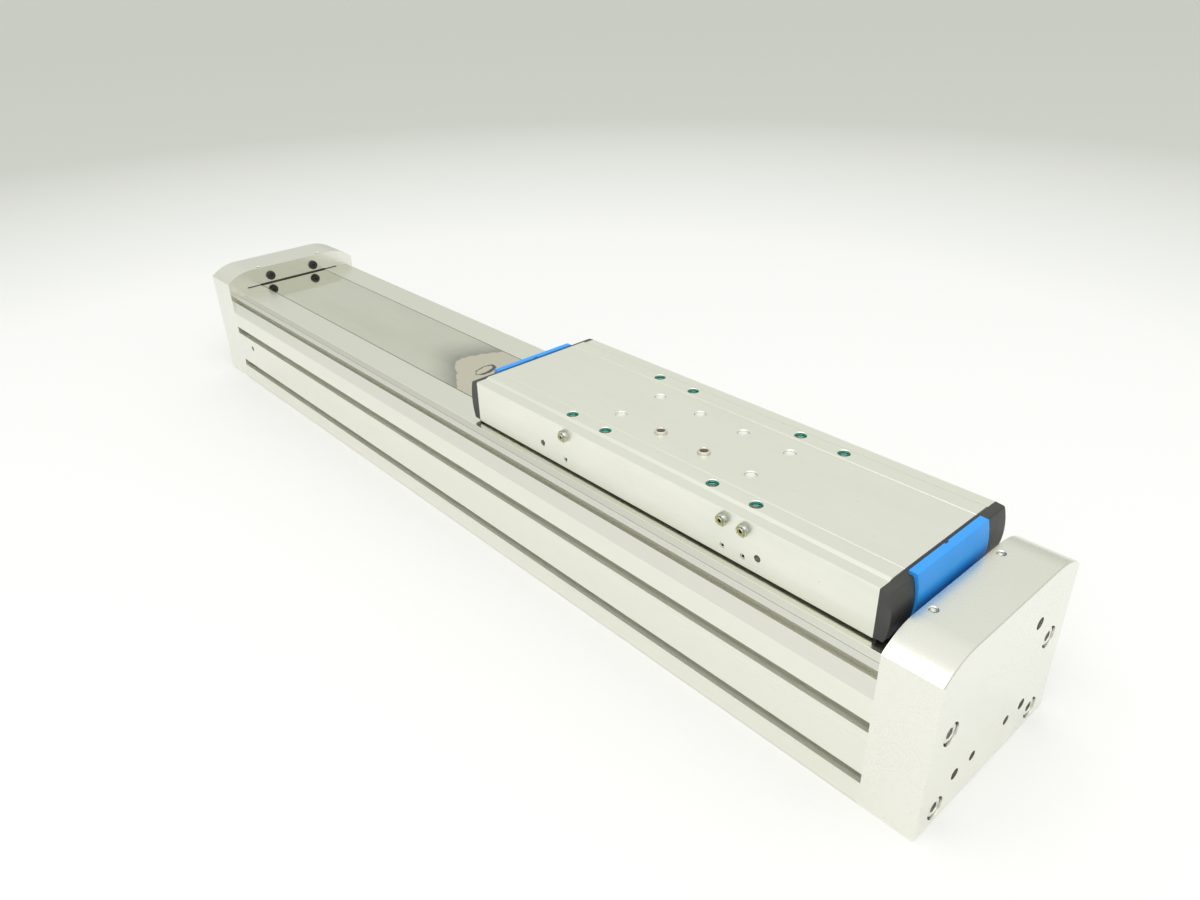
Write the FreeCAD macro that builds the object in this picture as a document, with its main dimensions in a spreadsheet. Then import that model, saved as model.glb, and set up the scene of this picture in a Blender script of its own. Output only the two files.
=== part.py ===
import FreeCAD, Part
import math
import os
import re
import Sketcher

# Ball screw linear axis: an extruded body closed by two end caps, a ball screw on bearings inside it, and a
# slide on two rails that the screw's nut pushes along. A steel strip covers the body's slot and arches
# through the slide. X runs along the axis towards the idle end, Z is up, and the origin is on the underside,
# midway along the body. All sizes are in millimetres and degrees.

SIZES = {
    # extruded body
    "body_length": 1024,
    "body_width": 186,
    "ledge_height": 127.5,
    "ledge_inset": 11.3,
    "lip_crease_inset": 5.7,
    "lip_crease_drop": 2.8,
    "lip_inset": 4.4,
    "lip_line_width": 0.5,
    "lip_line_depth": 0.4,
    "shoulder_drop": 14.5,
    "shoulder_band": 15,
    "shoulder_lean": 3,
    "side_groove_depth": 5,
    "side_groove_height": 6.1,
    "side_groove_edge": 1,
    "foot_chamfer": 1,
    "slot_play": 2,
    "lip_thickness": 10.5,
    "roof_slope": 8,
    "roof_overhang": 18,
    "wing_headroom": 8,
    "carriage_side_play": 2,
    "floor_height": 20,
    "chamber_wall": 4.5,
    "port_wall": 6.75,
    # slots for nuts along the body
    "nut_slot_mouth": 9,
    "nut_slot_lip": 4.5,
    "nut_slot_head": 16.5,
    "nut_slot_depth": 13,
    "nut_slot_edge": 0.2,
    "side_slot_height": 24.6,
    "side_slot_pitch": 48.5,
    "foot_slot_pitch": 40,
    # port in the body's near side
    "side_port_radius": 3.5,
    "side_port_height": 56,
    "side_port_from_end": 39,
    # cover strip, its magnets and its clamps
    "strip_overlap": 8,
    "strip_thickness": 0.4,
    "strip_side_play": 0.5,
    "strip_clearance": 3.6,
    "strip_ramp": 78,
    "strip_grip": 14,
    "magnet_width": 5,
    "magnet_height": 2,
    "clamp_plate_thickness": 1.4,
    "clamp_plate_length": 11,
    "clamp_plate_inset": 2,
    "clamp_slot_height": 2,
    "clamp_slot_depth": 16,
    "clamp_screw_pitch": 90,
    "clamp_screw_radius": 3,
    "clamp_screw_hex": 3,
    "clamp_screw_length": 19.5,
    "clamp_screw_inset": 6.5,
    # end caps
    "cap_rise": 23.5,
    "cap_shoulder_drop": 13,
    "cap_shoulder_radius": 56,
    "cap_chamfer": 0.8,
    "cap_relief_inset": 14.2,
    "cap_relief_height": 0.8,
    "cap_relief_depth": 2,
    "idle_cap_length": 44,
    "drive_cap_length": 56,
    "cap_screw_inset": 24.5,
    "cap_screw_pitch_up": 70,
    "cap_screw_height": 13.5,
    "cap_screw_radius": 5,
    "cap_screw_head_radius": 8,
    "cap_screw_head_height": 10,
    "cap_screw_hex": 8,
    "cap_screw_grip": 22,
    "counterbore_radius": 9.3,
    "counterbore_depth": 11,
    "accessory_hole_depth": 12,
    "accessory_hole_height": 31,
    "plain_hole_pitch": 48.6,
    "plain_hole_radius": 4,
    "threaded_hole_pitch": 96,
    "threaded_hole_radius": 4.6,
    "upper_hole_across": 43.4,
    "upper_hole_drop": 40.4,
    "upper_hole_radius": 5,
    "flange_hole_circle": 116,
    "flange_hole_radius": 3.4,
    "flange_hole_depth": 16,
    "buffer_radius": 6,
    "buffer_length": 3.6,
    "buffer_edge": 0.8,
    "buffer_pitch": 64,
    "buffer_rise": 10,
    "buffer_stem_radius": 3,
    "buffer_stem_length": 8,
    "buffer_socket_radius": 1.8,
    "buffer_socket_depth": 2,
    # ball screw and its bearings
    "screw_radius": 20,
    "screw_end_gap": 6,
    "collar_step": 1,
    "journal_radius": 15,
    "journal_step": 2,
    "shaft_radius": 11,
    "shaft_reach": 40,
    "shaft_seat_radius": 13,
    "idle_bearing_radius": 31,
    "idle_bearing_width": 16,
    "idle_bearing_inset": 3,
    "idle_pitch_radius": 23,
    "idle_ball_radius": 4,
    "fixed_bearing_radius": 36,
    "fixed_bearing_width": 26,
    "fixed_bearing_inset": 14,
    "fixed_pitch_radius": 25.75,
    "fixed_ball_radius": 6,
    "fixed_row_pitch": 13.2,
    "ring_gap": 6,
    "cap_bore_radius": 32,
    "centring_radius": 48,
    "circlip_radius": 17.5,
    "circlip_thickness": 1.5,
    "lock_nut_radius": 22,
    "lock_nut_thickness": 9,
    "lock_nut_notch_width": 5,
    "lock_nut_notch_depth": 2,
    "retainer_radius": 45,
    "retainer_bore_radius": 25,
    "retainer_thickness": 8,
    "retainer_screw_circle": 80,
    "retainer_screw_radius": 2.5,
    "retainer_screw_head_radius": 4,
    "retainer_screw_head_height": 3,
    "retainer_screw_recess": 0.5,
    "retainer_screw_grip": 6,
    # guide rails and carriages
    "rail_width": 20,
    "rail_height": 18,
    "rail_waist": 16,
    "rail_waist_low": 6,
    "rail_waist_high": 13.5,
    "rail_bevel": 2.2,
    "rail_end_gap": 2,
    "rail_screw_end": 62,
    "rail_screw_radius": 3,
    "rail_screw_head_radius": 5,
    "rail_screw_head_height": 6,
    "rail_screw_recess": 1,
    "rail_screw_grip": 12,
    "carriage_width": 44,
    "carriage_crown": 12,
    "carriage_rise": 4.5,
    "carriage_length": 50,
    "carriage_cap_length": 12,
    "carriage_cap_inset": 1,
    "carriage_screw_pitch": 36,
    "carriage_screw_offset": 8,
    "carriage_screw_radius": 3,
    "carriage_screw_head_radius": 5,
    "carriage_screw_head_height": 6,
    "carriage_screw_grip": 9,
    "rail_play": 0.4,
    # yoke and nut
    "crown_overrun": 10,
    "yoke_end": 25,
    "yoke_wall": 6.5,
    "yoke_wing_inset": 1,
    "yoke_wing_thickness": 14,
    "nut_wall": 11.5,
    "nut_length": 85,
    "nut_floor_gap": 4,
    "nut_side_gap": 0.7,
    "nut_flange_rim": 2.7,
    "nut_flange_thickness": 15,
    "nut_screw_inset": 5.3,
    "nut_screw_upper_angle": 45,
    "nut_screw_lower_angle": 20,
    "nut_screw_radius": 4,
    "nut_screw_head_radius": 6.5,
    "nut_screw_head_height": 8,
    "nut_screw_grip": 16,
    # slide
    "slide_length": 444,
    "slide_side_inset": 6.7,
    "slide_gap": 2,
    "slide_height": 42.5,
    "slide_floor": 13,
    "slide_edge_drop": 1.3,
    "slide_edge_run": 10.8,
    "slide_edge_ramp": 3.2,
    "slide_corner": 0.5,
    "slide_groove_pitch": 93,
    "slide_groove_width": 0.9,
    "slide_groove_depth": 0.45,
    "park_gap": 1,
    "tunnel_play": 2,
    "tunnel_headroom": 4,
    "arch_foot_inset": 4,
    "glide_inset": 2,
    "lift_glide_length": 22,
    "hold_glide_length": 30,
    "glide_gap": 0.4,
    "glide_clearance": 1.5,
    "yoke_screw_inset": 10,
    "yoke_screw_inner_pitch": 100,
    "yoke_screw_end": 30,
    "yoke_screw_radius": 4,
    "yoke_screw_head_radius": 6.5,
    "yoke_screw_head_height": 8,
    "yoke_screw_grip": 16,
    # holes in the slide's top
    "insert_row_pitch": 110,
    "insert_inner_pitch": 122,
    "insert_outer_pitch": 208,
    "insert_radius": 5.2,
    "insert_bore_radius": 4.2,
    "insert_length": 15.1,
    "insert_recess": 1.7,
    "insert_runout": 3,
    "grid_pitch": 49,
    "grid_hole_radius": 5.25,
    "grid_seat_depth": 7,
    "grid_thread_radius": 3.4,
    "grid_thread_depth": 16,
    "plug_recess": 1.6,
    "sleeve_rise": 2.5,
    "sleeve_bore_radius": 3.65,
    "sleeve_edge": 0.5,
    "hole_chamfer": 0.6,
    # fittings on the slide's sides
    "nipple_drop": 9.7,
    "nipple_left": -92,
    "nipple_middle": 90,
    "nipple_right": 110,
    "nipple_hex": 9.4,
    "nipple_hex_height": 4.2,
    "nipple_neck_radius": 3.3,
    "nipple_neck_height": 5.6,
    "nipple_stem_radius": 3,
    "nipple_stem_length": 6,
    "port_plug_drop": 33.7,
    "port_plug_radius": 2.3,
    "port_plug_depth": 3,
    "port_plug_recess": 0.6,
    "side_hole_pitch": 247,
    "side_hole_drop": 28.9,
    "side_hole_radius": 3,
    "side_hole_depth": 10,
    # covers at the slide's ends
    "cover_plate": 3,
    "cover_top_drop": 1.4,
    "cover_top_slope": 0.8,
    "cover_top_reach": 7.4,
    "cover_foot_reach": 7.6,
    "cover_front_radius": 62,
    "cover_bottom_rise": 1.3,
    "cover_brow_round": 2,
    "insert_piece_width": 93,
    "insert_piece_gap": 0.6,
    "insert_top_rise": 0.5,
    "insert_top_slope": 0.3,
    "insert_top_reach": 9.6,
    "insert_foot_reach": 9.7,
    "insert_foot_rise": 0.7,
    "insert_front_radius": 74,
    "insert_brow_round": 0.8,
    "clip_width": 3.5,
    "clip_reach": 0.6,
    "clip_depth": 3,
    "clip_drop": 0.5,
    "cover_screw_pitch": 70,
    "cover_screw_drop": 11,
    "cover_screw_radius": 2,
    "cover_screw_head_radius": 3.8,
    "cover_screw_head_height": 1.3,
    "cover_screw_grip": 10,
    "wiper_thickness": 2,
    "wiper_inset": 1,
    # clearances shared by fits
    "seat_play": 0.05,
    "screw_play": 0.1,
    "running_gap": 0.3,
    "overcut": 1,
}

RAIL_SCREW_COUNT = 6
RETAINER_SCREW_COUNT = 6
IDLE_BALL_COUNT = 10
FIXED_BALL_COUNT = 9

FORMULAS = {
    # nut and screw, which set the axis height and the widths of the yoke, the slot and the strip
    "nut_radius": "screw_radius + nut_wall",
    "nut_screw_reach": "nut_radius + nut_screw_inset",
    "nut_flange_radius": "nut_screw_reach + nut_screw_head_radius + nut_flange_rim",
    "axis_height": "floor_height + nut_floor_gap + nut_flange_radius",
    "collar_radius": "screw_radius - collar_step",
    "journal_shoulder": "journal_radius + journal_step",
    "yoke_width": "2 * (nut_radius + yoke_wall)",
    "slot_width": "yoke_width + 2 * slot_play",
    "roof_width": "slot_width + 2 * roof_overhang",
    "strip_width": "slot_width + 2 * strip_overlap",
    "strip_room": "strip_width / 2 + strip_side_play",
    "magnet_start": "(slot_width / 2 + strip_room - magnet_width) / 2",
    "magnet_end": "magnet_start + magnet_width",
    # rails and carriages beside the nut
    "carriage_top": "floor_height + rail_height + carriage_crown",
    "nut_chord": "sqrt(nut_radius ^ 2 - (axis_height - carriage_top) ^ 2)",
    "rail_pitch": "carriage_width + 2 * (nut_chord + nut_side_gap)",
    "rail_screw_pitch": f"(body_length - 2 * rail_screw_end) / {RAIL_SCREW_COUNT - 1}",
    "cavity_width": "rail_pitch + carriage_width + 2 * carriage_side_play",
    "yoke_wing_width": "rail_pitch + carriage_width - 2 * yoke_wing_inset",
    "wing_top": "carriage_top + yoke_wing_thickness",
    "shelf_height": "wing_top + wing_headroom",
    # extruded body
    "half_body": "body_width / 2",
    "cap_face": "body_length / 2",
    "ledge_reach": "half_body - ledge_inset",
    "lip_side": "half_body - lip_inset",
    "lip_height": "ledge_height - lip_thickness",
    "roof_height": "lip_height - roof_slope",
    "shoulder_height": "ledge_height - shoulder_drop",
    "side_height": "shoulder_height - shoulder_band",
    "groove_top": "shoulder_height + side_groove_height",
    "groove_floor": "half_body - shoulder_lean - side_groove_depth",
    "lip_across": "lip_side - ledge_reach",
    "lip_up": "ledge_height - groove_top",
    "lip_chord": "sqrt(lip_across ^ 2 + lip_up ^ 2)",
    "lip_crease_across": "half_body - lip_crease_inset",
    "lip_crease_height": "ledge_height - lip_crease_drop",
    # end caps
    "idle_face": "cap_face + idle_cap_length",
    "drive_face": "cap_face + drive_cap_length",
    "cap_height": "ledge_height + cap_rise",
    "cap_side_height": "cap_height - cap_shoulder_drop",
    "cap_flat": "half_body - sqrt(2 * cap_shoulder_radius * cap_shoulder_drop - cap_shoulder_drop ^ 2)",
    "cap_screw_pitch_across": "body_width - 2 * cap_screw_inset",
    "cap_relief": "ledge_reach - cap_relief_inset",
    "upper_hole_height": "cap_height - upper_hole_drop",
    "buffer_height": "ledge_height + buffer_rise",
    "idle_journal_end": "idle_bearing_inset + idle_bearing_width + circlip_thickness + running_gap",
    "idle_pocket_depth": "idle_journal_end + circlip_thickness + overcut",
    "fixed_bearing_end": "fixed_bearing_inset + fixed_bearing_width",
    "lock_nut_end": "fixed_bearing_end + lock_nut_thickness",
    # slide and the strip's arch through it
    "slide_width": "2 * (ledge_reach - slide_side_inset)",
    "slide_bottom": "ledge_height + slide_gap",
    "slide_top": "slide_bottom + slide_height",
    "slide_end": "slide_length / 2",
    "strip_base": "ledge_height - strip_thickness",
    "strip_lift": "slide_gap + slide_floor + strip_thickness + strip_clearance",
    "strip_reach": "cap_face + strip_grip",
    "clamp_ceiling": "strip_base + clamp_slot_height",
    "ramp_radius": "(strip_ramp ^ 2 + strip_lift ^ 2) / (4 * strip_lift)",
    "arch_reach": "slide_end - arch_foot_inset",
    "crown_reach": "arch_reach - strip_ramp",
    "tunnel_floor": "slide_bottom + slide_floor",
    "tunnel_ceiling": "ledge_height + strip_lift + tunnel_headroom",
    "tunnel_width": "strip_width + 2 * tunnel_play",
    "glide_width": "strip_width - 2 * glide_inset",
    "insert_hole_depth": "insert_recess + insert_length + insert_runout",
    "yoke_length": "2 * (crown_reach + crown_overrun)",
    "carriage_pitch": "yoke_length - carriage_length - 2 * yoke_end",
    "yoke_screw_outer_pitch": "yoke_length - 2 * yoke_screw_end",
    "yoke_screw_pitch_across": "yoke_width - 2 * yoke_screw_inset",
    # covers and the slide's place, parked at the idle end
    "cover_top": "slide_top - cover_top_drop",
    "cover_brow": "cover_top - cover_top_slope",
    "cover_bottom": "slide_bottom + cover_bottom_rise",
    "insert_top": "slide_top + insert_top_rise",
    "insert_brow": "insert_top - insert_top_slope",
    "insert_bottom": "cover_bottom + insert_foot_rise",
    "front_rise": "insert_brow - insert_bottom",
    "front_chord": "sqrt(front_rise ^ 2 + (insert_foot_reach - insert_top_reach) ^ 2)",
    "front_bulge": "insert_front_radius - sqrt(insert_front_radius ^ 2 - front_chord ^ 2 / 4)",
    "cover_tip": "slide_end + (insert_top_reach + insert_foot_reach) / 2 + front_bulge",
    "slide_center": "cap_face - buffer_length - park_gap - cover_tip",
    "nut_face": "slide_center + yoke_length / 2",
}

doc = FreeCAD.newDocument("ball_screw_axis")
sizes = doc.addObject("Spreadsheet::Sheet", "sizes")
cells = list(SIZES.items()) + [(alias, "=" + text) for alias, text in FORMULAS.items()]
for row, (alias, content) in enumerate(cells, start=1):
    sizes.set(f"A{row}", alias.replace("_", " "))
    sizes.setAlias(f"B{row}", alias)
    sizes.set(f"B{row}", str(content))
doc.recompute()
nodes = []


def expression(text):
    """Point every named size in a text at its cell."""
    def point(match):
        word = match.group(0)
        return "sizes." + word if word in SIZES or word in FORMULAS else word
    return re.sub(r"[a-z_]+", point, str(text))


def number(text):
    return float(sizes.evalExpression(expression(text)))


def bind(target, prop, text):
    target.setExpression(prop, expression(text))


def new_body(label, axis_height=None):
    """Start a sub-part; one that turns with the screw has its own axis as its X axis."""
    body = doc.addObject("PartDesign::Body", label)
    body.AllowCompound = True
    if axis_height:
        bind(body, "Placement.Base.z", axis_height)
    nodes.append(body)
    return body


def new_sketch(body, name, plane, offset="0"):
    sketch = body.newObject("Sketcher::SketchObject", name)
    support = next(item for item in body.Origin.OriginFeatures if item.Role == plane)
    sketch.AttachmentSupport = [(support, "")]
    sketch.MapMode = "FlatFace"
    bind(sketch, "AttachmentOffset.Base.z", offset)
    return sketch


def fix_point(sketch, geometry, position, corner):
    """Tie a point to its two formulas, measured from the sketch's origin."""
    for kind, axis, text in zip(("DistanceX", "DistanceY"), (-2, -1), corner):
        if text == "0":
            sketch.addConstraint(Sketcher.Constraint("PointOnObject", geometry, position, axis))
            continue
        index = sketch.addConstraint(Sketcher.Constraint(kind, -1, 1, geometry, position, number(text)))
        bind(sketch, f"Constraints[{index}]", text)


def fix_radius(sketch, geometry, radius):
    index = sketch.addConstraint(Sketcher.Constraint("Radius", geometry, number(radius)))
    bind(sketch, f"Constraints[{index}]", radius)


def arc_middle(start, end, radius, turn):
    """Middle of the arc from start to end; turn is 1 where it bends left and -1 where it bends right."""
    chord = end - start
    sagitta = radius - math.sqrt(radius ** 2 - chord.Length ** 2 / 4)
    right = FreeCAD.Vector(chord.y, -chord.x, 0).normalize()
    return (start + end) / 2 + right * sagitta * turn


def outline(sketch, corners):
    """Draw a closed outline of (across, up) corners; an arc leaves one that adds its radius and turn."""
    points = [FreeCAD.Vector(number(corner[0]), number(corner[1]), 0) for corner in corners]
    ends = []
    for index, corner in enumerate(corners):
        start, end = points[index], points[(index + 1) % len(points)]
        if len(corner) == 2:
            edge = sketch.addGeometry(Part.LineSegment(start, end))
            ends.append((edge, 1, 2))
            continue
        middle = arc_middle(start, end, number(corner[2]), corner[3])
        edge = sketch.addGeometry(Part.Arc(start, middle, end))
        ends.append((edge, 1, 2) if corner[3] > 0 else (edge, 2, 1))
    for index, corner in enumerate(corners):
        edge, first, last = ends[index]
        following, following_first, _ = ends[(index + 1) % len(ends)]
        sketch.addConstraint(Sketcher.Constraint("Coincident", edge, last, following, following_first))
        fix_point(sketch, edge, first, corner[:2])
        if len(corner) > 2:
            fix_radius(sketch, edge, corner[2])


def rectangle(sketch, left, right, bottom, top):
    outline(sketch, [(left, bottom), (right, bottom), (right, top), (left, top)])


def circles(sketch, centers, radius):
    for center in centers:
        place = FreeCAD.Vector(number(center[0]), number(center[1]), 0)
        ring = sketch.addGeometry(Part.Circle(place, FreeCAD.Vector(0, 0, 1), number(radius)))
        fix_radius(sketch, ring, radius)
        fix_point(sketch, ring, 3, center)


def hexagons(sketch, centers, across_flats):
    """Six-sided outlines, each with two corners level with its centre."""
    reach = f"({across_flats}) / sqrt(3)"
    rise = f"({across_flats}) / 2"
    for across, up in centers:
        ring = [(1, 0), (0.5, 1), (-0.5, 1), (-1, 0), (-0.5, -1), (0.5, -1)]
        outline(sketch, [
            (f"{across} + {side} * {reach}", f"{up} + {level} * {rise}") for side, level in ring])


def finish_feature(body, feature):
    body.Tip = feature
    doc.recompute()
    return feature


def pad(body, sketch, length, backwards=False, both_ways=False):
    feature = body.newObject("PartDesign::Pad", sketch.Name + "_pad")
    feature.Profile = sketch
    feature.Reversed = backwards
    feature.SideType = "Symmetric" if both_ways else "One side"
    bind(feature, "Length", length)
    return finish_feature(body, feature)


def pocket(body, sketch, depth, backwards=False, both_ways=False):
    """Cut a sketch into the body, and stop if it takes nothing away."""
    before = body.Shape.Volume
    feature = body.newObject("PartDesign::Pocket", sketch.Name + "_pocket")
    feature.Profile = sketch
    feature.Reversed = backwards
    feature.SideType = "Symmetric" if both_ways else "One side"
    bind(feature, "Length", depth)
    finish_feature(body, feature)
    if body.Shape.Volume > before - 1e-6:
        raise RuntimeError(sketch.Name + " cuts nothing")
    return feature


def revolve(body, sketch):
    feature = body.newObject("PartDesign::Revolution", sketch.Name + "_turn")
    feature.Profile = sketch
    feature.ReferenceAxis = (sketch, ["H_Axis"])
    feature.Angle = 360
    return finish_feature(body, feature)


def dress_edges(body, kind, size_name, size, wanted):
    """Bevel or round the edges that the test picks from the body as it is so far."""
    base = body.Tip
    names = [f"Edge{index}" for index, edge in enumerate(base.Shape.Edges, start=1) if wanted(edge)]
    feature = body.newObject(kind, f"{body.Name}_edges_{len(body.Group)}")
    feature.Base = (base, names)
    bind(feature, size_name, size)
    return finish_feature(body, feature)


def chamfer(body, size, wanted):
    return dress_edges(body, "PartDesign::Chamfer", "Size", size, wanted)


def fillet(body, radius, wanted):
    return dress_edges(body, "PartDesign::Fillet", "Radius", radius, wanted)


def studs(body, name, plane, offset, centers, radius, length, backwards=False):
    """Round pegs that stand on one plane."""
    sketch = new_sketch(body, name, plane, offset)
    circles(sketch, centers, radius)
    pad(body, sketch, length, backwards)


def drill(body, name, plane, offset, centers, radius, depth, backwards=False):
    """Round holes that go in from one plane."""
    sketch = new_sketch(body, name, plane, offset)
    circles(sketch, centers, radius)
    pocket(body, sketch, depth, backwards)


def lies_at(edge, axis, place):
    """True for an edge whose whole length is at one coordinate."""
    low = getattr(edge.BoundBox, axis + "Min")
    high = getattr(edge.BoundBox, axis + "Max")
    return abs(low - place) < 1e-4 and abs(high - place) < 1e-4


def mirrored(corners):
    """Complete an outline, drawn up its right half, with its mirror image."""
    other = []
    for index in reversed(range(len(corners))):
        across, up = corners[index][:2]
        arc = corners[index - 1][2:] if index else ()
        other.append((f"-({across})", up) + tuple(arc))
    return corners + other


def both_sides(across, up):
    return [(f"-({across})", up), (across, up)]


def block_of(xs, ys):
    return [(x, y) for x in xs for y in ys]


CAP_SCREW_PLACES = (
    both_sides("cap_screw_pitch_across / 2", "cap_screw_height")
    + both_sides("cap_screw_pitch_across / 2", "cap_screw_height + cap_screw_pitch_up"))
CLAMP_PLACES = ("-clamp_screw_pitch / 2", "clamp_screw_pitch / 2")
RAIL_SIDES = ("-rail_pitch / 2", "rail_pitch / 2")
RAIL_SCREW_STEPS = [
    f"{index - (RAIL_SCREW_COUNT - 1) / 2} * rail_screw_pitch" for index in range(RAIL_SCREW_COUNT)]
RAIL_SCREW_PLACES = block_of(RAIL_SCREW_STEPS, RAIL_SIDES)
CARRIAGE_PLACES = ("slide_center - carriage_pitch / 2", "slide_center + carriage_pitch / 2")
CARRIAGE_SCREW_PLACES = block_of(
    [f"{place} {side} carriage_screw_pitch / 2" for place in CARRIAGE_PLACES for side in "-+"],
    ("-rail_pitch / 2 - carriage_screw_offset", "rail_pitch / 2 + carriage_screw_offset"))
YOKE_SCREW_PLACES = block_of(
    [f"slide_center {side} {pitch} / 2" for pitch in ("yoke_screw_inner_pitch", "yoke_screw_outer_pitch")
     for side in "-+"],
    ("-yoke_screw_pitch_across / 2", "yoke_screw_pitch_across / 2"))
NUT_SCREW_PLACES = (
    both_sides("nut_screw_reach * cos(nut_screw_upper_angle)",
               "axis_height + nut_screw_reach * sin(nut_screw_upper_angle)")
    + both_sides("nut_screw_reach * cos(nut_screw_lower_angle)",
                 "axis_height - nut_screw_reach * sin(nut_screw_lower_angle)"))
BUFFER_PLACES = both_sides("buffer_pitch / 2", "buffer_height")
COVER_SCREW_PLACES = both_sides("cover_screw_pitch / 2", "slide_top - cover_screw_drop")
INSERT_PLACES = block_of(
    [f"slide_center {side} {pitch} / 2" for pitch in ("insert_inner_pitch", "insert_outer_pitch")
     for side in "-+"],
    ("-insert_row_pitch / 2", "insert_row_pitch / 2"))
GRID_STEPS = [f"slide_center + {step} * grid_pitch" for step in (-1.5, -0.5, 0.5, 1.5)]
GRID_PLACES = block_of(GRID_STEPS, ("-grid_pitch / 2", "grid_pitch / 2"))
SLEEVE_PLACES = block_of(GRID_STEPS[1:3], ("-grid_pitch / 2",))
PLUG_PLACES = [place for place in GRID_PLACES if place not in SLEEVE_PLACES]
NIPPLE_STATIONS = ("nipple_left", "nipple_middle", "nipple_right")
NIPPLE_PLACES = [(f"slide_center + {station}", "slide_top - nipple_drop") for station in NIPPLE_STATIONS]
PORT_PLUG_PLACES = [
    (f"slide_center + {station}", "slide_top - port_plug_drop") for station in NIPPLE_STATIONS]
SIDE_HOLE_PLACES = [
    (f"slide_center {side} side_hole_pitch / 2", "slide_top - side_hole_drop") for side in "-+"]
SLIDE_SIDES = (("near", "slide_width / 2", False), ("far", "-slide_width / 2", True))
ENDS = (("idle", 1), ("drive", -1))


def nut_slot(across, up, turned):
    """Undercut slot whose mouth opens towards +across, or towards -up where it is turned."""
    half_mouth = "nut_slot_mouth / 2"
    flare = "nut_slot_mouth / 2 + nut_slot_edge + overcut"
    half_head = "nut_slot_head / 2"
    profile = [
        ("-overcut", flare), ("nut_slot_edge", half_mouth), ("nut_slot_lip", half_mouth),
        ("nut_slot_lip", half_head), ("nut_slot_depth", half_head)]
    corners = []
    for depth, width in profile + [(depth, f"-({width})") for depth, width in reversed(profile)]:
        if turned:
            corners.append((f"{across} + {width}", f"{up} + {depth}"))
        else:
            corners.append((f"{across} * (half_body - ({depth}))", f"{up} + {width}"))
    return corners


def cut_along(body, name, outlines):
    """Cut outlines right through the body's length."""
    sketch = new_sketch(body, "profile_" + name, "YZ_Plane", "-body_length / 2")
    for corners in outlines:
        outline(sketch, corners)
    pocket(body, sketch, "body_length", backwards=True)


def lip_line(side):
    """Fine V line along the crease of a ledge's lip."""
    def place(out, along):
        across = f"lip_crease_across + ({out} * lip_up - {along} * lip_across) / lip_chord"
        up = f"lip_crease_height + ({out} * lip_across + {along} * lip_up) / lip_chord"
        return f"{side} * ({across})", up
    return [
        place("-lip_line_depth", "0"), place("lip_line_depth", "lip_line_width"),
        place("lip_line_depth", "-lip_line_width")]


def wall_chambers(side):
    """Two hollows in a side wall: one between the nut slots and one under the shoulder."""
    outer, inner = "half_body - chamber_wall", "cavity_width / 2 + chamber_wall"
    low = "side_slot_height + nut_slot_head / 2 + chamber_wall"
    high = "side_slot_height + side_slot_pitch - nut_slot_head / 2 - chamber_wall"
    brow_outer, brow_inner = "groove_floor - chamber_wall", "roof_width / 2 + chamber_wall"
    brow_low = "cap_screw_height + cap_screw_pitch_up + cap_screw_radius + port_wall"
    brow_high = "shoulder_height - chamber_wall"
    corners = (
        [(inner, low), (outer, low), (outer, high), (inner, high)],
        [(brow_inner, brow_low), (brow_outer, brow_low), (brow_outer, brow_high), (brow_inner, brow_high)])
    return [[(f"{side} * ({across})", up) for across, up in chamber] for chamber in corners]


def make_profile():
    """Extruded body: strip ledges over an open cavity, nut slots, screw ports and hollow walls."""
    body = new_body("profile")
    section = new_sketch(body, "profile_section", "YZ_Plane", "-body_length / 2")
    outline(section, mirrored([
        ("half_body - foot_chamfer", "0"), ("half_body", "foot_chamfer"), ("half_body", "side_height"),
        ("half_body - shoulder_lean", "shoulder_height"),
        ("groove_floor", "shoulder_height + side_groove_edge"),
        ("groove_floor", "groove_top - side_groove_edge"),
        ("lip_side", "groove_top"), ("lip_crease_across", "lip_crease_height"),
        ("ledge_reach", "ledge_height")]))
    pad(body, section, "body_length")
    cut_along(body, "cavity", [mirrored([
        ("cavity_width / 2", "floor_height"), ("cavity_width / 2", "shelf_height"),
        ("roof_width / 2", "shelf_height + overcut"), ("roof_width / 2", "roof_height"),
        ("slot_width / 2", "lip_height"), ("slot_width / 2", "ledge_height + overcut")])])
    cut_along(body, "strip_seat", [mirrored([
        ("strip_room", "strip_base"), ("strip_room", "ledge_height + overcut")])])
    for name, side in (("near", -1), ("far", 1)):
        start, end = f"{side} * magnet_start", f"{side} * magnet_end"
        cut_along(body, f"magnet_seat_{name}", [[
            (start, "strip_base - magnet_height"), (end, "strip_base - magnet_height"),
            (end, "strip_base + overcut"), (start, "strip_base + overcut")]])
    heights = ("side_slot_height", "side_slot_height + side_slot_pitch")
    cut_along(body, "side_slots", [nut_slot(side, up, False) for side in (1, -1) for up in heights])
    cut_along(body, "foot_slots", [nut_slot(f"{side} * foot_slot_pitch / 2", "0", True) for side in (1, -1)])
    cut_along(body, "chambers", wall_chambers(1) + wall_chambers(-1))
    cut_along(body, "lip_lines", [lip_line(1), lip_line(-1)])
    for end, sign in ENDS:
        drill(body, f"profile_ports_{end}", "YZ_Plane", f"{sign} * cap_face", CAP_SCREW_PLACES,
              "cap_screw_radius + screw_play", "cap_screw_grip + overcut", backwards=sign < 0)
    drill(body, "profile_rail_holes", "XY_Plane", "floor_height", RAIL_SCREW_PLACES,
          "rail_screw_radius + screw_play", "rail_screw_grip + overcut")
    drill(body, "profile_side_port", "XZ_Plane", "half_body",
          [("-(cap_face - side_port_from_end)", "side_port_height")], "side_port_radius",
          "chamber_wall + overcut")


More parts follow.
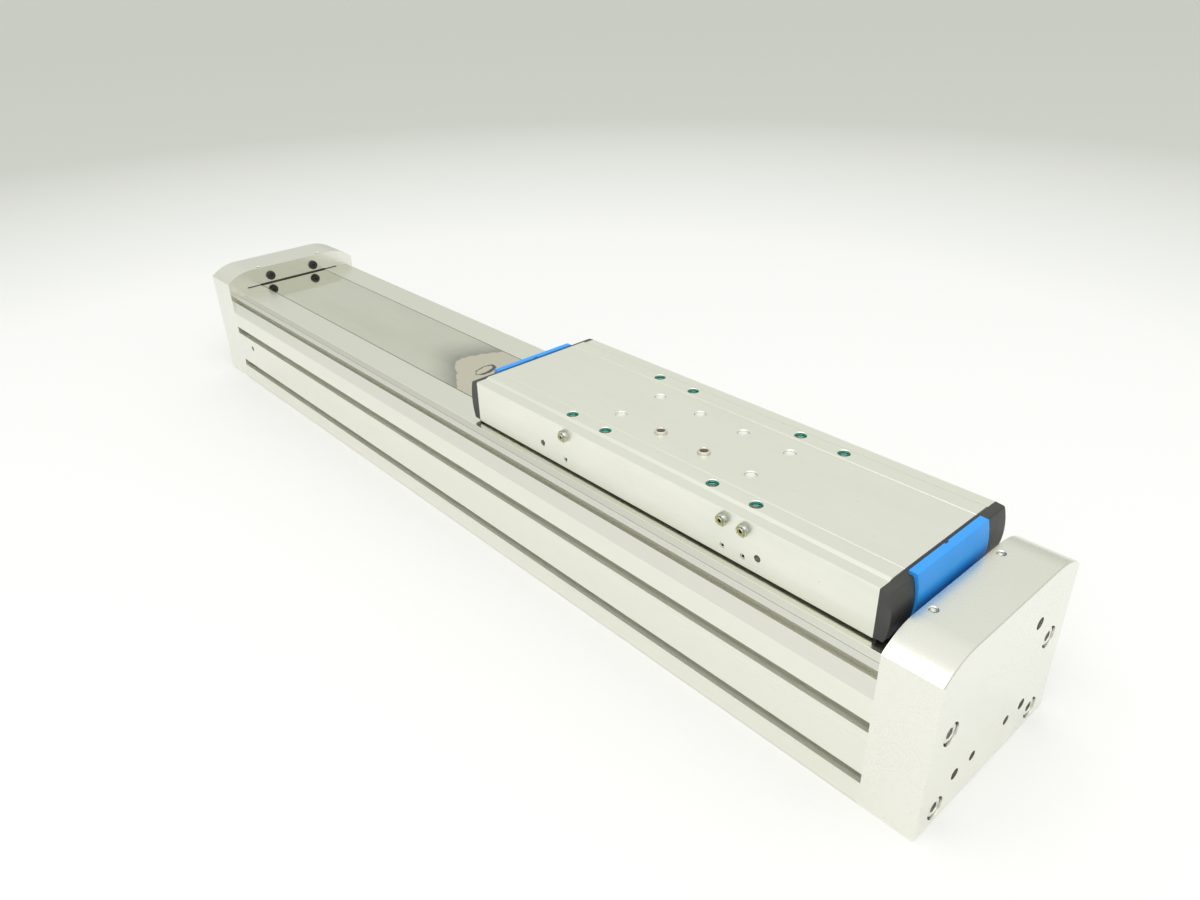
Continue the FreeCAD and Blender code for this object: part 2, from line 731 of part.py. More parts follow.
def make_cap_blank(body, sign, length):
    """Flat-topped block with rounded shoulders, bevelled round its outer face."""
    sketch = new_sketch(body, body.Name + "_section", "YZ_Plane", f"{sign} * cap_face")
    outline(sketch, mirrored([
        ("half_body", "0"), ("half_body", "cap_side_height", "cap_shoulder_radius", 1),
        ("cap_flat", "cap_height")]))
    pad(body, sketch, length, backwards=sign < 0)
    outer = sign * number(f"cap_face + {length}")
    chamfer(body, "cap_chamfer", lambda edge: lies_at(edge, "X", outer))


def cut_cap_seats(body, end, sign, length):
    """Seats that both caps have: screws, strip slot, clamp screws and stop buffers."""
    outward = sign < 0
    drill(body, f"{end}_counterbores", "YZ_Plane", f"{sign} * (cap_face + {length})", CAP_SCREW_PLACES,
          "counterbore_radius", "counterbore_depth", backwards=outward)
    drill(body, f"{end}_screw_holes", "YZ_Plane", f"{sign} * (cap_face + {length})", CAP_SCREW_PLACES,
          "cap_screw_radius + screw_play", length, backwards=outward)
    slot = new_sketch(body, f"{end}_strip_slot", "YZ_Plane", f"{sign} * cap_face")
    rectangle(slot, "-strip_room", "strip_room", "strip_base", "clamp_ceiling")
    pocket(body, slot, "clamp_slot_depth", backwards=not outward)
    relief = new_sketch(body, f"{end}_ledge_relief", "YZ_Plane", f"{sign} * cap_face")
    rectangle(relief, "-cap_relief", "cap_relief", "ledge_height", "ledge_height + cap_relief_height")
    pocket(body, relief, "cap_relief_depth", backwards=not outward)
    drill(body, f"{end}_clamp_holes", "XY_Plane", "cap_height",
          [(f"{sign} * (cap_face + clamp_screw_inset)", across) for across in CLAMP_PLACES],
          "clamp_screw_radius + screw_play", "cap_height - ledge_height - clamp_plate_thickness")
    top = number("cap_height")
    chamfer(body, "hole_chamfer",
            lambda edge: lies_at(edge, "Z", top) and isinstance(edge.Curve, Part.Circle))
    drill(body, f"{end}_buffer_holes", "YZ_Plane", f"{sign} * cap_face", BUFFER_PLACES,
          "buffer_stem_radius + screw_play", "buffer_stem_length + overcut", backwards=not outward)


def make_idle_end_cap():
    """Closed cap with a blind bearing seat inside and accessory holes outside."""
    body = new_body("idle_end_cap")
    make_cap_blank(body, 1, "idle_cap_length")
    cut_cap_seats(body, "idle", 1, "idle_cap_length")
    drill(body, "idle_bearing_seat", "YZ_Plane", "cap_face", [("0", "axis_height")],
          "idle_bearing_radius + seat_play", "idle_pocket_depth", backwards=True)
    accessory_holes = (
        ("plain", both_sides("plain_hole_pitch / 2", "accessory_hole_height"), "plain_hole_radius"),
        ("threaded", both_sides("threaded_hole_pitch / 2", "accessory_hole_height"), "threaded_hole_radius"),
        ("upper", [("upper_hole_across", "upper_hole_height")], "upper_hole_radius"))
    for name, places, radius in accessory_holes:
        drill(body, f"idle_{name}_holes", "YZ_Plane", "idle_face", places, radius, "accessory_hole_depth")


def make_drive_end_cap():
    """Open cap: bearing seat, centring recess and flange holes for a motor mount."""
    body = new_body("drive_end_cap")
    make_cap_blank(body, -1, "drive_cap_length")
    cut_cap_seats(body, "drive", -1, "drive_cap_length")
    center = [("0", "axis_height")]
    drill(body, "drive_bore", "YZ_Plane", "-drive_face", center, "cap_bore_radius", "drive_cap_length",
          True)
    drill(body, "drive_bearing_seat", "YZ_Plane", "-drive_face", center, "fixed_bearing_radius + seat_play",
          "drive_cap_length - fixed_bearing_inset", True)
    drill(body, "drive_retainer_seat", "YZ_Plane", "-drive_face", center, "retainer_radius + seat_play",
          "drive_cap_length - fixed_bearing_end", True)
    drill(body, "drive_centring", "YZ_Plane", "-drive_face", center, "centring_radius",
          "drive_cap_length - fixed_bearing_end - retainer_thickness", True)
    reach = "flange_hole_circle / 2 * sqrt(0.5)"
    flange_places = (
        both_sides(reach, f"axis_height - {reach}") + both_sides(reach, f"axis_height + {reach}"))
    drill(body, "drive_flange_holes", "YZ_Plane", "-drive_face", flange_places, "flange_hole_radius",
          "flange_hole_depth", True)
    drill(body, "drive_retainer_holes", "YZ_Plane", "-(cap_face + fixed_bearing_end)",
          retainer_screw_places(), "retainer_screw_radius + screw_play",
          "retainer_screw_grip + overcut", True)


def retainer_screw_places():
    """Places on the retainer's circle, measured on the end face."""
    places = []
    for turn in range(RETAINER_SCREW_COUNT):
        angle = 360 * (turn + 0.5) / RETAINER_SCREW_COUNT
        places.append((f"retainer_screw_circle / 2 * cos({angle})",
                       f"axis_height + retainer_screw_circle / 2 * sin({angle})"))
    return places


def make_end_cap_screws():
    """Socket head screws that pull both caps on to the body."""
    body = new_body("end_cap_screws")
    for end, sign in ENDS:
        seat = f"{sign} * (cap_face + {end}_cap_length - counterbore_depth)"
        outward = sign < 0
        studs(body, f"{end}_cap_heads", "YZ_Plane", seat, CAP_SCREW_PLACES, "cap_screw_head_radius",
              "cap_screw_head_height", outward)
        studs(body, f"{end}_cap_shanks", "YZ_Plane", seat, CAP_SCREW_PLACES, "cap_screw_radius",
              f"{end}_cap_length - counterbore_depth + cap_screw_grip", not outward)
        socket = new_sketch(body, f"{end}_cap_sockets", "YZ_Plane",
                            f"{seat} + {sign} * cap_screw_head_height")
        hexagons(socket, CAP_SCREW_PLACES, "cap_screw_hex")
        pocket(body, socket, "cap_screw_head_height / 2", outward)


def make_stop_buffers():
    """Rubber buffers on the caps' inner faces, pushed in by their stems."""
    body = new_body("stop_buffers")
    for end, sign in ENDS:
        face = f"{sign} * cap_face"
        studs(body, f"{end}_buffers", "YZ_Plane", face, BUFFER_PLACES, "buffer_radius", "buffer_length",
              sign > 0)
        studs(body, f"{end}_buffer_stems", "YZ_Plane", face, BUFFER_PLACES, "buffer_stem_radius",
              "buffer_stem_length", sign < 0)
        front = f"{sign} * (cap_face - buffer_length)"
        place = number(front)
        chamfer(body, "buffer_edge", lambda edge: lies_at(edge, "X", place))
        drill(body, f"{end}_buffer_sockets", "YZ_Plane", front, BUFFER_PLACES, "buffer_socket_radius",
              "buffer_socket_depth", sign > 0)


def strip_path(level):
    """The strip's line along X: flat, up a double bend into the slide, over its crown and down again."""
    foot, crown = "slide_center - arch_reach", "slide_center - crown_reach"
    far_crown, far_foot = "slide_center + crown_reach", "slide_center + arch_reach"
    half, top = f"{level} + strip_lift / 2", f"{level} + strip_lift"
    return [
        ("-strip_reach", level), (foot, level, "ramp_radius", 1),
        (f"{foot} + strip_ramp / 2", half, "ramp_radius", -1), (crown, top),
        (far_crown, top, "ramp_radius", -1), (f"{far_foot} - strip_ramp / 2", half, "ramp_radius", 1),
        (far_foot, level), ("strip_reach", level)]


def make_cover_strip():
    """Steel strip that lies in its seat and arches through the slide."""
    body = new_body("cover_strip")
    under = strip_path("strip_base")
    over = strip_path("ledge_height")
    back = []
    for index in reversed(range(len(over))):
        arc = over[index - 1][2:] if index else ()
        back.append(over[index][:2] + ((arc[0], -arc[1]) if arc else ()))
    sketch = new_sketch(body, "strip_section", "XZ_Plane")
    outline(sketch, under + back)
    pad(body, sketch, "strip_width", both_ways=True)


def make_magnet_strips():
    """Magnet bands that hold the strip down, let into the lips of the slot."""
    body = new_body("magnet_strips")
    sketch = new_sketch(body, "magnet_section", "YZ_Plane")
    for side in (1, -1):
        rectangle(sketch, f"{side} * (magnet_start + seat_play)", f"{side} * (magnet_end - seat_play)",
                  "strip_base - magnet_height", "strip_base")
    pad(body, sketch, "body_length - 2 * rail_end_gap", both_ways=True)


def make_strip_clamps():
    """Plates that press on the strip's ends, and the set screws above them."""
    plates = new_body("strip_clamp_plates")
    for end, sign in ENDS:
        face = f"{sign} * (cap_face + clamp_plate_inset)"
        sketch = new_sketch(plates, f"{end}_clamp_plate", "YZ_Plane", face)
        rectangle(sketch, "-strip_width / 2", "strip_width / 2", "ledge_height",
                  "ledge_height + clamp_plate_thickness")
        pad(plates, sketch, "clamp_plate_length", sign < 0)
    screws = new_body("strip_clamp_screws")
    places = block_of([f"{sign} * (cap_face + clamp_screw_inset)" for _, sign in ENDS], CLAMP_PLACES)
    base = "ledge_height + clamp_plate_thickness"
    studs(screws, "clamp_screw_rods", "XY_Plane", base, places, "clamp_screw_radius", "clamp_screw_length")
    socket = new_sketch(screws, "clamp_screw_sockets", "XY_Plane", f"{base} + clamp_screw_length")
    hexagons(socket, places, "clamp_screw_hex")
    pocket(screws, socket, "clamp_screw_hex")


def rail_corners(across, gap, bottom):
    """Waisted rail section about one side of the body, or its outline grown by a gap for the carriage."""
    edge = f"rail_width / 2 + {gap}"
    waist = f"rail_waist / 2 + {gap}"
    steps = [
        (edge, bottom), (edge, "floor_height + rail_waist_low"),
        (waist, "floor_height + rail_waist_low + rail_bevel"),
        (waist, "floor_height + rail_waist_high - rail_bevel"), (edge, "floor_height + rail_waist_high"),
        (edge, f"floor_height + rail_height + {gap}")]
    right = [(f"{across} + {reach}", up) for reach, up in steps]
    left = [(f"{across} - ({reach})", up) for reach, up in reversed(steps)]
    return right + left


def make_guide_rails():
    """Two waisted rails screwed to the body's floor."""
    rails = new_body("guide_rails")
    sketch = new_sketch(rails, "rail_section", "YZ_Plane")
    for across in RAIL_SIDES:
        outline(sketch, rail_corners(across, "0", "floor_height"))
    pad(rails, sketch, "body_length - 2 * rail_end_gap", both_ways=True)
    top = "floor_height + rail_height"
    seat = f"{top} - rail_screw_head_height - rail_screw_recess"
    drill(rails, "rail_holes", "XY_Plane", top, RAIL_SCREW_PLACES, "rail_screw_radius + screw_play",
          "rail_height")
    drill(rails, "rail_counterbores", "XY_Plane", top, RAIL_SCREW_PLACES,
          "rail_screw_head_radius + screw_play", "rail_screw_head_height + rail_screw_recess")
    screws = new_body("guide_rail_screws")
    studs(screws, "rail_screw_heads", "XY_Plane", seat, RAIL_SCREW_PLACES, "rail_screw_head_radius",
          "rail_screw_head_height")
    studs(screws, "rail_screw_shanks", "XY_Plane", seat, RAIL_SCREW_PLACES, "rail_screw_radius",
          f"{seat} - floor_height + rail_screw_grip", True)


def make_ball_screw():
    """Screw with a collar and stepped journals, its drive shaft standing out of the drive cap."""
    body = new_body("ball_screw", "axis_height")
    thread_end = "cap_face - screw_end_gap"
    drive_steps = [
        ("-(drive_face + shaft_reach)", "shaft_radius"), ("-drive_face", "shaft_radius"),
        ("-drive_face", "shaft_seat_radius"), ("-(cap_face + lock_nut_end)", "shaft_seat_radius"),
        ("-(cap_face + lock_nut_end)", "journal_radius"),
        ("-(cap_face + fixed_bearing_inset)", "journal_radius"),
        ("-(cap_face + fixed_bearing_inset)", "collar_radius"), (f"-({thread_end})", "collar_radius"),
        (f"-({thread_end})", "screw_radius")]
    idle_steps = [
        (thread_end, "screw_radius"), (thread_end, "journal_shoulder"),
        ("cap_face + idle_bearing_inset", "journal_shoulder"),
        ("cap_face + idle_bearing_inset", "journal_radius"),
        ("cap_face + idle_journal_end", "journal_radius")]
    sketch = new_sketch(body, "screw_outline", "XZ_Plane")
    outline(sketch, [("-(drive_face + shaft_reach)", "0")] + drive_steps + idle_steps
            + [("cap_face + idle_journal_end", "0")])
    revolve(body, sketch)
    chamfer(body, "cap_chamfer", lambda edge: lies_at(edge, "X", -number("drive_face + shaft_reach")))


def groove_run(middle, ball_radius, pitch_radius, face, turn):
    """Two corners of a ball groove, cut in a ring's face at one place along the axis."""
    groove = f"({ball_radius} + running_gap)"
    half = f"sqrt({groove} ^ 2 - (({face}) - {pitch_radius}) ^ 2)"
    first, last = (f"{middle} - {half}", face), (f"{middle} + {half}", face)
    if turn > 0:
        return [first + (groove, -1), last]
    return [last + (groove, -1), first]


def make_bearing(name, start, width, outer_radius, pitch_radius, ball_radius, rows):
    """Outer and inner rings of a ball bearing, grooved for each row of balls."""
    outer_face = f"{pitch_radius} + ring_gap / 2"
    inner_face = f"{pitch_radius} - ring_gap / 2"
    end = f"{start} + {width}"
    outer = new_body(f"{name}_outer_ring", "axis_height")
    sketch = new_sketch(outer, f"{name}_outer_section", "XZ_Plane")
    corners = [(end, outer_face), (end, outer_radius), (start, outer_radius), (start, outer_face)]
    for row in rows:
        corners += groove_run(row, ball_radius, pitch_radius, outer_face, 1)
    outline(sketch, corners)
    revolve(outer, sketch)
    inner = new_body(f"{name}_inner_ring", "axis_height")
    sketch = new_sketch(inner, f"{name}_inner_section", "XZ_Plane")
    bore = "journal_radius + seat_play"
    corners = [(start, inner_face), (start, bore), (end, bore), (end, inner_face)]
    for row in reversed(rows):
        corners += groove_run(row, ball_radius, pitch_radius, inner_face, -1)
    outline(sketch, corners)
    revolve(inner, sketch)


def make_balls(name, rows, pitch_radius, ball_radius, count):
    """Rings of loose balls between the races."""
    balls = []
    for row in rows:
        for turn in range(count):
            angle = 360 * turn / count
            ball = doc.addObject("Part::Sphere", f"{name}_ball")
            bind(ball, "Radius", ball_radius)
            bind(ball, "Placement.Base.x", row)
            bind(ball, "Placement.Base.y", f"{pitch_radius} * cos({angle})")
            bind(ball, "Placement.Base.z", f"axis_height + {pitch_radius} * sin({angle})")
            balls.append(ball)
    group = doc.addObject("Part::Compound", f"{name}_balls")
    group.Links = balls
    nodes.append(group)


def make_bearings():
    idle_start = "cap_face + idle_bearing_inset"
    idle_rows = [f"{idle_start} + idle_bearing_width / 2"]
    make_bearing("idle_bearing", idle_start, "idle_bearing_width", "idle_bearing_radius",
                 "idle_pitch_radius", "idle_ball_radius", idle_rows)
    make_balls("idle_bearing", idle_rows, "idle_pitch_radius", "idle_ball_radius", IDLE_BALL_COUNT)
    fixed_start = "-(cap_face + fixed_bearing_end)"
    fixed_middle = f"{fixed_start} + fixed_bearing_width / 2"
    fixed_rows = [f"{fixed_middle} {side} fixed_row_pitch / 2" for side in "-+"]
    make_bearing("fixed_bearing", fixed_start, "fixed_bearing_width", "fixed_bearing_radius",
                 "fixed_pitch_radius", "fixed_ball_radius", fixed_rows)
    make_balls("fixed_bearing", fixed_rows, "fixed_pitch_radius", "fixed_ball_radius", FIXED_BALL_COUNT)


def make_ring(label, start, thickness, radius, bore):
    """Plain ring about the screw's axis."""
    body = new_body(label, "axis_height")
    sketch = new_sketch(body, label + "_section", "XZ_Plane")
    rectangle(sketch, start, f"{start} + {thickness}", bore, radius)
    revolve(body, sketch)
    return body


def make_bearing_locks():
    """Circlip at the idle end; lock nut, retainer and its screws at the drive end."""
    make_ring("idle_bearing_circlip", "cap_face + idle_bearing_inset + idle_bearing_width",
              "circlip_thickness", "circlip_radius", "journal_radius + seat_play")
    lock_nut = make_ring("bearing_lock_nut", "-(cap_face + lock_nut_end)", "lock_nut_thickness",
                         "lock_nut_radius", "journal_radius + seat_play")
    notches = new_sketch(lock_nut, "lock_nut_notches", "YZ_Plane", "-(cap_face + lock_nut_end)")
    for side in (1, -1):
        reach = f"{side} * (lock_nut_radius + overcut)"
        foot = f"{side} * (lock_nut_radius - lock_nut_notch_depth)"
        half = "lock_nut_notch_width / 2"
        outline(notches, [(foot, f"-{half}"), (reach, f"-{half}"), (reach, half), (foot, half)])
        outline(notches, [(f"-{half}", foot), (half, foot), (half, reach), (f"-{half}", reach)])
    pocket(lock_nut, notches, "lock_nut_thickness", backwards=True)
    retainer_face = "-(cap_face + fixed_bearing_end + retainer_thickness)"
    retainer = make_ring("bearing_retainer", retainer_face, "retainer_thickness", "retainer_radius",
                         "retainer_bore_radius")
    places = [(across, up.replace("axis_height + ", "")) for across, up in retainer_screw_places()]
    drill(retainer, "retainer_holes", "YZ_Plane", retainer_face, places, "retainer_screw_radius + screw_play",
          "retainer_thickness", True)
    drill(retainer, "retainer_counterbores", "YZ_Plane", retainer_face, places,
          "retainer_screw_head_radius + screw_play",
          "retainer_screw_head_height + retainer_screw_recess", True)
    screws = new_body("bearing_retainer_screws", "axis_height")
    seat = f"{retainer_face} + retainer_screw_head_height + retainer_screw_recess"
    studs(screws, "retainer_screw_heads", "YZ_Plane", seat, places, "retainer_screw_head_radius",
          "retainer_screw_head_height", True)
    studs(screws, "retainer_screw_shanks", "YZ_Plane", seat, places, "retainer_screw_radius",
          f"-(cap_face + fixed_bearing_end) - ({seat}) + retainer_screw_grip")


def make_carriages():
    """Four runner blocks that clasp the rails, with moulded caps and the screws that hold the yoke."""
    blocks = new_body("guide_carriages")
    caps = new_body("carriage_end_caps")
    for index, place in enumerate(CARRIAGE_PLACES):
        start = f"{place} - carriage_length / 2"
        sketch = new_sketch(blocks, f"carriage_section_{index}", "YZ_Plane", start)
        draw_carriages(sketch, "0")
        pad(blocks, sketch, "carriage_length")
        for name, side in (("front", "carriage_length"), ("back", "-carriage_cap_length")):
            sketch = new_sketch(caps, f"carriage_{name}_cap_{index}", "YZ_Plane", f"{start} + {side}")
            draw_carriages(sketch, "carriage_cap_inset")
            pad(caps, sketch, "carriage_cap_length")
    drill(blocks, "carriage_holes", "XY_Plane", "carriage_top", CARRIAGE_SCREW_PLACES,
          "carriage_screw_radius + screw_play", "carriage_screw_grip + overcut")
    screws = new_body("carriage_screws")
    seat = "wing_top - carriage_screw_head_height"
    studs(screws, "carriage_screw_heads", "XY_Plane", seat, CARRIAGE_SCREW_PLACES,
          "carriage_screw_head_radius", "carriage_screw_head_height")
    studs(screws, "carriage_screw_shanks", "XY_Plane", seat, CARRIAGE_SCREW_PLACES, "carriage_screw_radius",
          f"{seat} - carriage_top + carriage_screw_grip", True)


def draw_carriages(sketch, inset):
    """Section of a carriage on each rail: a block cut out round the rail, joined at its top."""
    bottom = f"floor_height + carriage_rise + {inset}"
    for across in RAIL_SIDES:
        inner = rail_corners(across, "rail_play", bottom)
        half = f"carriage_width / 2 - {inset}"
        top = f"carriage_top - {inset}"
        outline(sketch, [
            (f"{across} - ({half})", bottom)] + list(reversed(inner)) + [
            (f"{across} + {half}", bottom), (f"{across} + {half}", top), (f"{across} - ({half})", top)])


def make_slide_yoke():
    """Carrier on the four carriages that holds the nut and reaches up through the slot to the slide."""
    body = new_body("slide_yoke")
    section = new_sketch(body, "yoke_section", "YZ_Plane", "slide_center - yoke_length / 2")
    outline(section, mirrored([
        ("yoke_wing_width / 2", "carriage_top"), ("yoke_wing_width / 2", "wing_top"),
        ("yoke_width / 2", "wing_top"), ("yoke_width / 2", "slide_bottom")]))
    pad(body, section, "yoke_length")
    drill(body, "yoke_nut_bore", "YZ_Plane", "slide_center - yoke_length / 2", [("0", "axis_height")],
          "nut_radius + seat_play", "yoke_length", True)
    drill(body, "yoke_carriage_holes", "XY_Plane", "wing_top", CARRIAGE_SCREW_PLACES,
          "carriage_screw_radius + screw_play", "yoke_wing_thickness")
    drill(body, "yoke_carriage_counterbores", "XY_Plane", "wing_top", CARRIAGE_SCREW_PLACES,
          "carriage_screw_head_radius + screw_play", "carriage_screw_head_height")
    drill(body, "yoke_slide_holes", "XY_Plane", "slide_bottom", YOKE_SCREW_PLACES,
          "yoke_screw_radius + screw_play", "yoke_screw_grip + overcut")
    drill(body, "yoke_nut_holes", "YZ_Plane", "nut_face", NUT_SCREW_PLACES, "nut_screw_radius + screw_play",
          "nut_screw_grip + overcut")


def make_ball_nut():
    """Flanged nut on the screw, with the screws that hold its flange to the yoke."""
    nut = new_body("ball_nut", "axis_height")
    sketch = new_sketch(nut, "nut_section", "XZ_Plane")
    bore = "screw_radius + running_gap"
    flange_face = "nut_face + nut_flange_thickness"
    outline(sketch, [
        ("nut_face - nut_length", bore), (flange_face, bore), (flange_face, "nut_flange_radius"),
        ("nut_face", "nut_flange_radius"), ("nut_face", "nut_radius"),
        ("nut_face - nut_length", "nut_radius")])
    revolve(nut, sketch)
    places = [(across, f"{up} - axis_height") for across, up in NUT_SCREW_PLACES]
    drill(nut, "nut_flange_holes", "YZ_Plane", flange_face, places, "nut_screw_radius + screw_play",
          "nut_flange_thickness")
    drill(nut, "nut_counterbores", "YZ_Plane", flange_face, places, "nut_screw_head_radius + screw_play",
          "nut_screw_head_height")
    screws = new_body("ball_nut_screws")
    seat = f"{flange_face} - nut_screw_head_height"
    studs(screws, "nut_screw_heads", "YZ_Plane", seat, NUT_SCREW_PLACES, "nut_screw_head_radius",
          "nut_screw_head_height")
    studs(screws, "nut_screw_shanks", "YZ_Plane", seat, NUT_SCREW_PLACES, "nut_screw_radius",
          "nut_flange_thickness - nut_screw_head_height + nut_screw_grip", True)


def make_slide_body():
    """Slide with lowered top edges, two fine grooves along its top and a tunnel for the strip."""
    body = new_body("slide_body")
    start = "slide_center - slide_end"
    half = "slide_width / 2"
    edge_top = "slide_top - slide_edge_drop"
    groove = "slide_groove_pitch / 2"
    section = new_sketch(body, "slide_section", "YZ_Plane", start)
    outline(section, mirrored([
        (f"{half} - slide_corner", "slide_bottom"), (half, "slide_bottom + slide_corner"),
        (half, f"{edge_top} - slide_corner"), (f"{half} - slide_corner", edge_top),
        (f"{half} - slide_edge_run", edge_top), (f"{half} - slide_edge_run - slide_edge_ramp", "slide_top"),
        (f"{groove} + slide_groove_width / 2", "slide_top"),
        (groove, "slide_top - slide_groove_depth"), (f"{groove} - slide_groove_width / 2", "slide_top")]))
    pad(body, section, "slide_length")
    tunnel = new_sketch(body, "slide_tunnel", "YZ_Plane", start)
    rectangle(tunnel, "-tunnel_width / 2", "tunnel_width / 2", "tunnel_floor", "tunnel_ceiling")
    pocket(body, tunnel, "slide_length", backwards=True)
    mouths = new_sketch(body, "slide_tunnel_mouths", "XZ_Plane")
    for _, sign in ENDS:
        outer = f"slide_center + {sign} * (slide_end + overcut)"
        inner = f"slide_center + {sign} * yoke_length / 2"
        outline(mouths, [(inner, "slide_bottom - overcut"), (outer, "slide_bottom - overcut"),
                         (outer, "tunnel_ceiling"), (inner, "tunnel_ceiling")])
    pocket(body, mouths, "tunnel_width", both_ways=True)
    drill(body, "slide_insert_holes", "XY_Plane", "slide_top", INSERT_PLACES, "insert_radius + seat_play",
          "insert_hole_depth")
    drill(body, "slide_grid_threads", "XY_Plane", "slide_top", GRID_PLACES, "grid_thread_radius",
          "grid_thread_depth")
    drill(body, "slide_grid_seats", "XY_Plane", "slide_top", GRID_PLACES, "grid_hole_radius",
          "grid_seat_depth")
    top = number("slide_top")
    chamfer(body, "hole_chamfer",
            lambda edge: lies_at(edge, "Z", top) and isinstance(edge.Curve, Part.Circle))
    drill(body, "slide_yoke_holes", "XY_Plane", "tunnel_floor", YOKE_SCREW_PLACES,
          "yoke_screw_radius + screw_play", "tunnel_floor - slide_bottom")
    drill(body, "slide_yoke_counterbores", "XY_Plane", "tunnel_floor", YOKE_SCREW_PLACES,
          "yoke_screw_head_radius + screw_play", "yoke_screw_head_height")
    for name, offset, far in SLIDE_SIDES:
        drill(body, f"slide_{name}_nipple_holes", "XZ_Plane", offset, NIPPLE_PLACES,
              "nipple_stem_radius + screw_play", "nipple_stem_length + overcut", far)
        drill(body, f"slide_{name}_plug_holes", "XZ_Plane", offset, PORT_PLUG_PLACES,
              "port_plug_radius + screw_play", "port_plug_depth + port_plug_recess", far)
        drill(body, f"slide_{name}_holes", "XZ_Plane", offset, SIDE_HOLE_PLACES, "side_hole_radius",
              "side_hole_depth", far)
    for end, sign in ENDS:
        drill(body, f"slide_{end}_cover_holes", "YZ_Plane", f"slide_center + {sign} * slide_end",
              COVER_SCREW_PLACES, "cover_screw_radius + screw_play", "cover_screw_grip + overcut", sign < 0)


def make_yoke_screws():
    """Screws from the tunnel's floor down into the yoke."""
    body = new_body("yoke_screws")
    seat = "tunnel_floor - yoke_screw_head_height"
    studs(body, "yoke_screw_heads", "XY_Plane", seat, YOKE_SCREW_PLACES, "yoke_screw_head_radius",
          "yoke_screw_head_height")
    studs(body, "yoke_screw_shanks", "XY_Plane", seat, YOKE_SCREW_PLACES, "yoke_screw_radius",
          f"{seat} - slide_bottom + yoke_screw_grip", True)


def make_top_fittings():
    """Thread inserts in the outer rows; plugs and two centring sleeves in the inner grid."""
    inserts = new_body("thread_inserts")
    top = "slide_top - insert_recess"
    studs(inserts, "insert_sleeves", "XY_Plane", top, INSERT_PLACES, "insert_radius", "insert_length", True)
    drill(inserts, "insert_bores", "XY_Plane", top, INSERT_PLACES, "insert_bore_radius", "insert_length")
    plugs = new_body("hole_plugs")
    studs(plugs, "plug_discs", "XY_Plane", "slide_top - plug_recess", PLUG_PLACES,
          "grid_hole_radius - seat_play", "grid_seat_depth - plug_recess", True)
    sleeves = new_body("centring_sleeves")
    height = "grid_seat_depth + sleeve_rise"
    rim = "slide_top + sleeve_rise"
    studs(sleeves, "sleeve_tubes", "XY_Plane", rim, SLEEVE_PLACES, "grid_hole_radius - seat_play", height,
          True)
    place = number(rim)
    chamfer(sleeves, "sleeve_edge", lambda edge: lies_at(edge, "Z", place))
    drill(sleeves, "sleeve_bores", "XY_Plane", rim, SLEEVE_PLACES, "sleeve_bore_radius", height)


def make_side_fittings():
    """Lubrication nipples and port plugs on both sides of the slide."""
    nipples = new_body("lube_nipples")
    plugs = new_body("lube_port_plugs")
    for name, offset, far in SLIDE_SIDES:
        sketch = new_sketch(nipples, f"nipple_{name}_hexes", "XZ_Plane", offset)
        hexagons(sketch, NIPPLE_PLACES, "nipple_hex")
        pad(nipples, sketch, "nipple_hex_height", far)
        studs(nipples, f"nipple_{name}_necks", "XZ_Plane", offset, NIPPLE_PLACES, "nipple_neck_radius",
              "nipple_neck_height", far)
        studs(nipples, f"nipple_{name}_stems", "XZ_Plane", offset, NIPPLE_PLACES, "nipple_stem_radius",
              "nipple_stem_length", not far)
        sign = "-" if not far else "+"
        studs(plugs, f"port_plug_{name}", "XZ_Plane", f"{offset} {sign} port_plug_recess", PORT_PLUG_PLACES,
              "port_plug_radius", "port_plug_depth", not far)


def front_corners(sign, piece, back):
    """Side view of a cover or its insert: a sloped top over a front that bulges."""
    corners = [
        (back, f"{piece}_top"),
        (f"slide_end + {piece}_top_reach", f"{piece}_brow", f"{piece}_front_radius", -sign),
        (f"slide_end + {piece}_foot_reach", f"{piece}_bottom"), (back, f"{piece}_bottom")]
    return [(f"slide_center + {sign} * ({corner[0]})",) + tuple(corner[1:]) for corner in corners]


def round_brow(body, sign, piece):
    """Round the edge between a piece's top and its front."""
    place = number(f"slide_center + {sign} * (slide_end + {piece}_top_reach)")
    level = number(f"{piece}_brow")
    fillet(body, f"{piece}_brow_round", lambda edge: lies_at(edge, "X", place) and lies_at(edge, "Z", level))


def make_slide_cover(end, sign):
    """Moulded cover: bulged cheeks beside a recess, a screwed back plate and a clip for the insert."""
    cover = new_body(f"{end}_slide_cover")
    sketch = new_sketch(cover, f"{end}_cover_side", "XZ_Plane")
    outline(sketch, front_corners(sign, "cover", "slide_end"))
    pad(cover, sketch, "slide_width", both_ways=True)
    round_brow(cover, sign, "cover")
    plate = f"slide_center + {sign} * (slide_end + cover_plate)"
    recess = new_sketch(cover, f"{end}_cover_recess", "YZ_Plane", plate)
    opening = "(insert_piece_width / 2 + insert_piece_gap)"
    rectangle(recess, f"-{opening}", opening, "cover_bottom - overcut", "slide_top + overcut")
    pocket(cover, recess, "cover_tip - slide_end", backwards=sign > 0)
    drill(cover, f"{end}_cover_screw_holes", "YZ_Plane", plate, COVER_SCREW_PLACES,
          "cover_screw_radius + screw_play", "cover_plate", sign < 0)
    drill(cover, f"{end}_cover_screw_seats", "YZ_Plane", plate, COVER_SCREW_PLACES,
          "cover_screw_head_radius + screw_play", "cover_screw_head_height", sign < 0)
    clip = new_sketch(cover, f"{end}_cover_clip", "YZ_Plane", plate)
    rectangle(clip, "-clip_width / 2", "clip_width / 2", "cover_top - clip_depth", "cover_top - clip_drop")
    pad(cover, clip, "clip_reach", backwards=sign < 0)


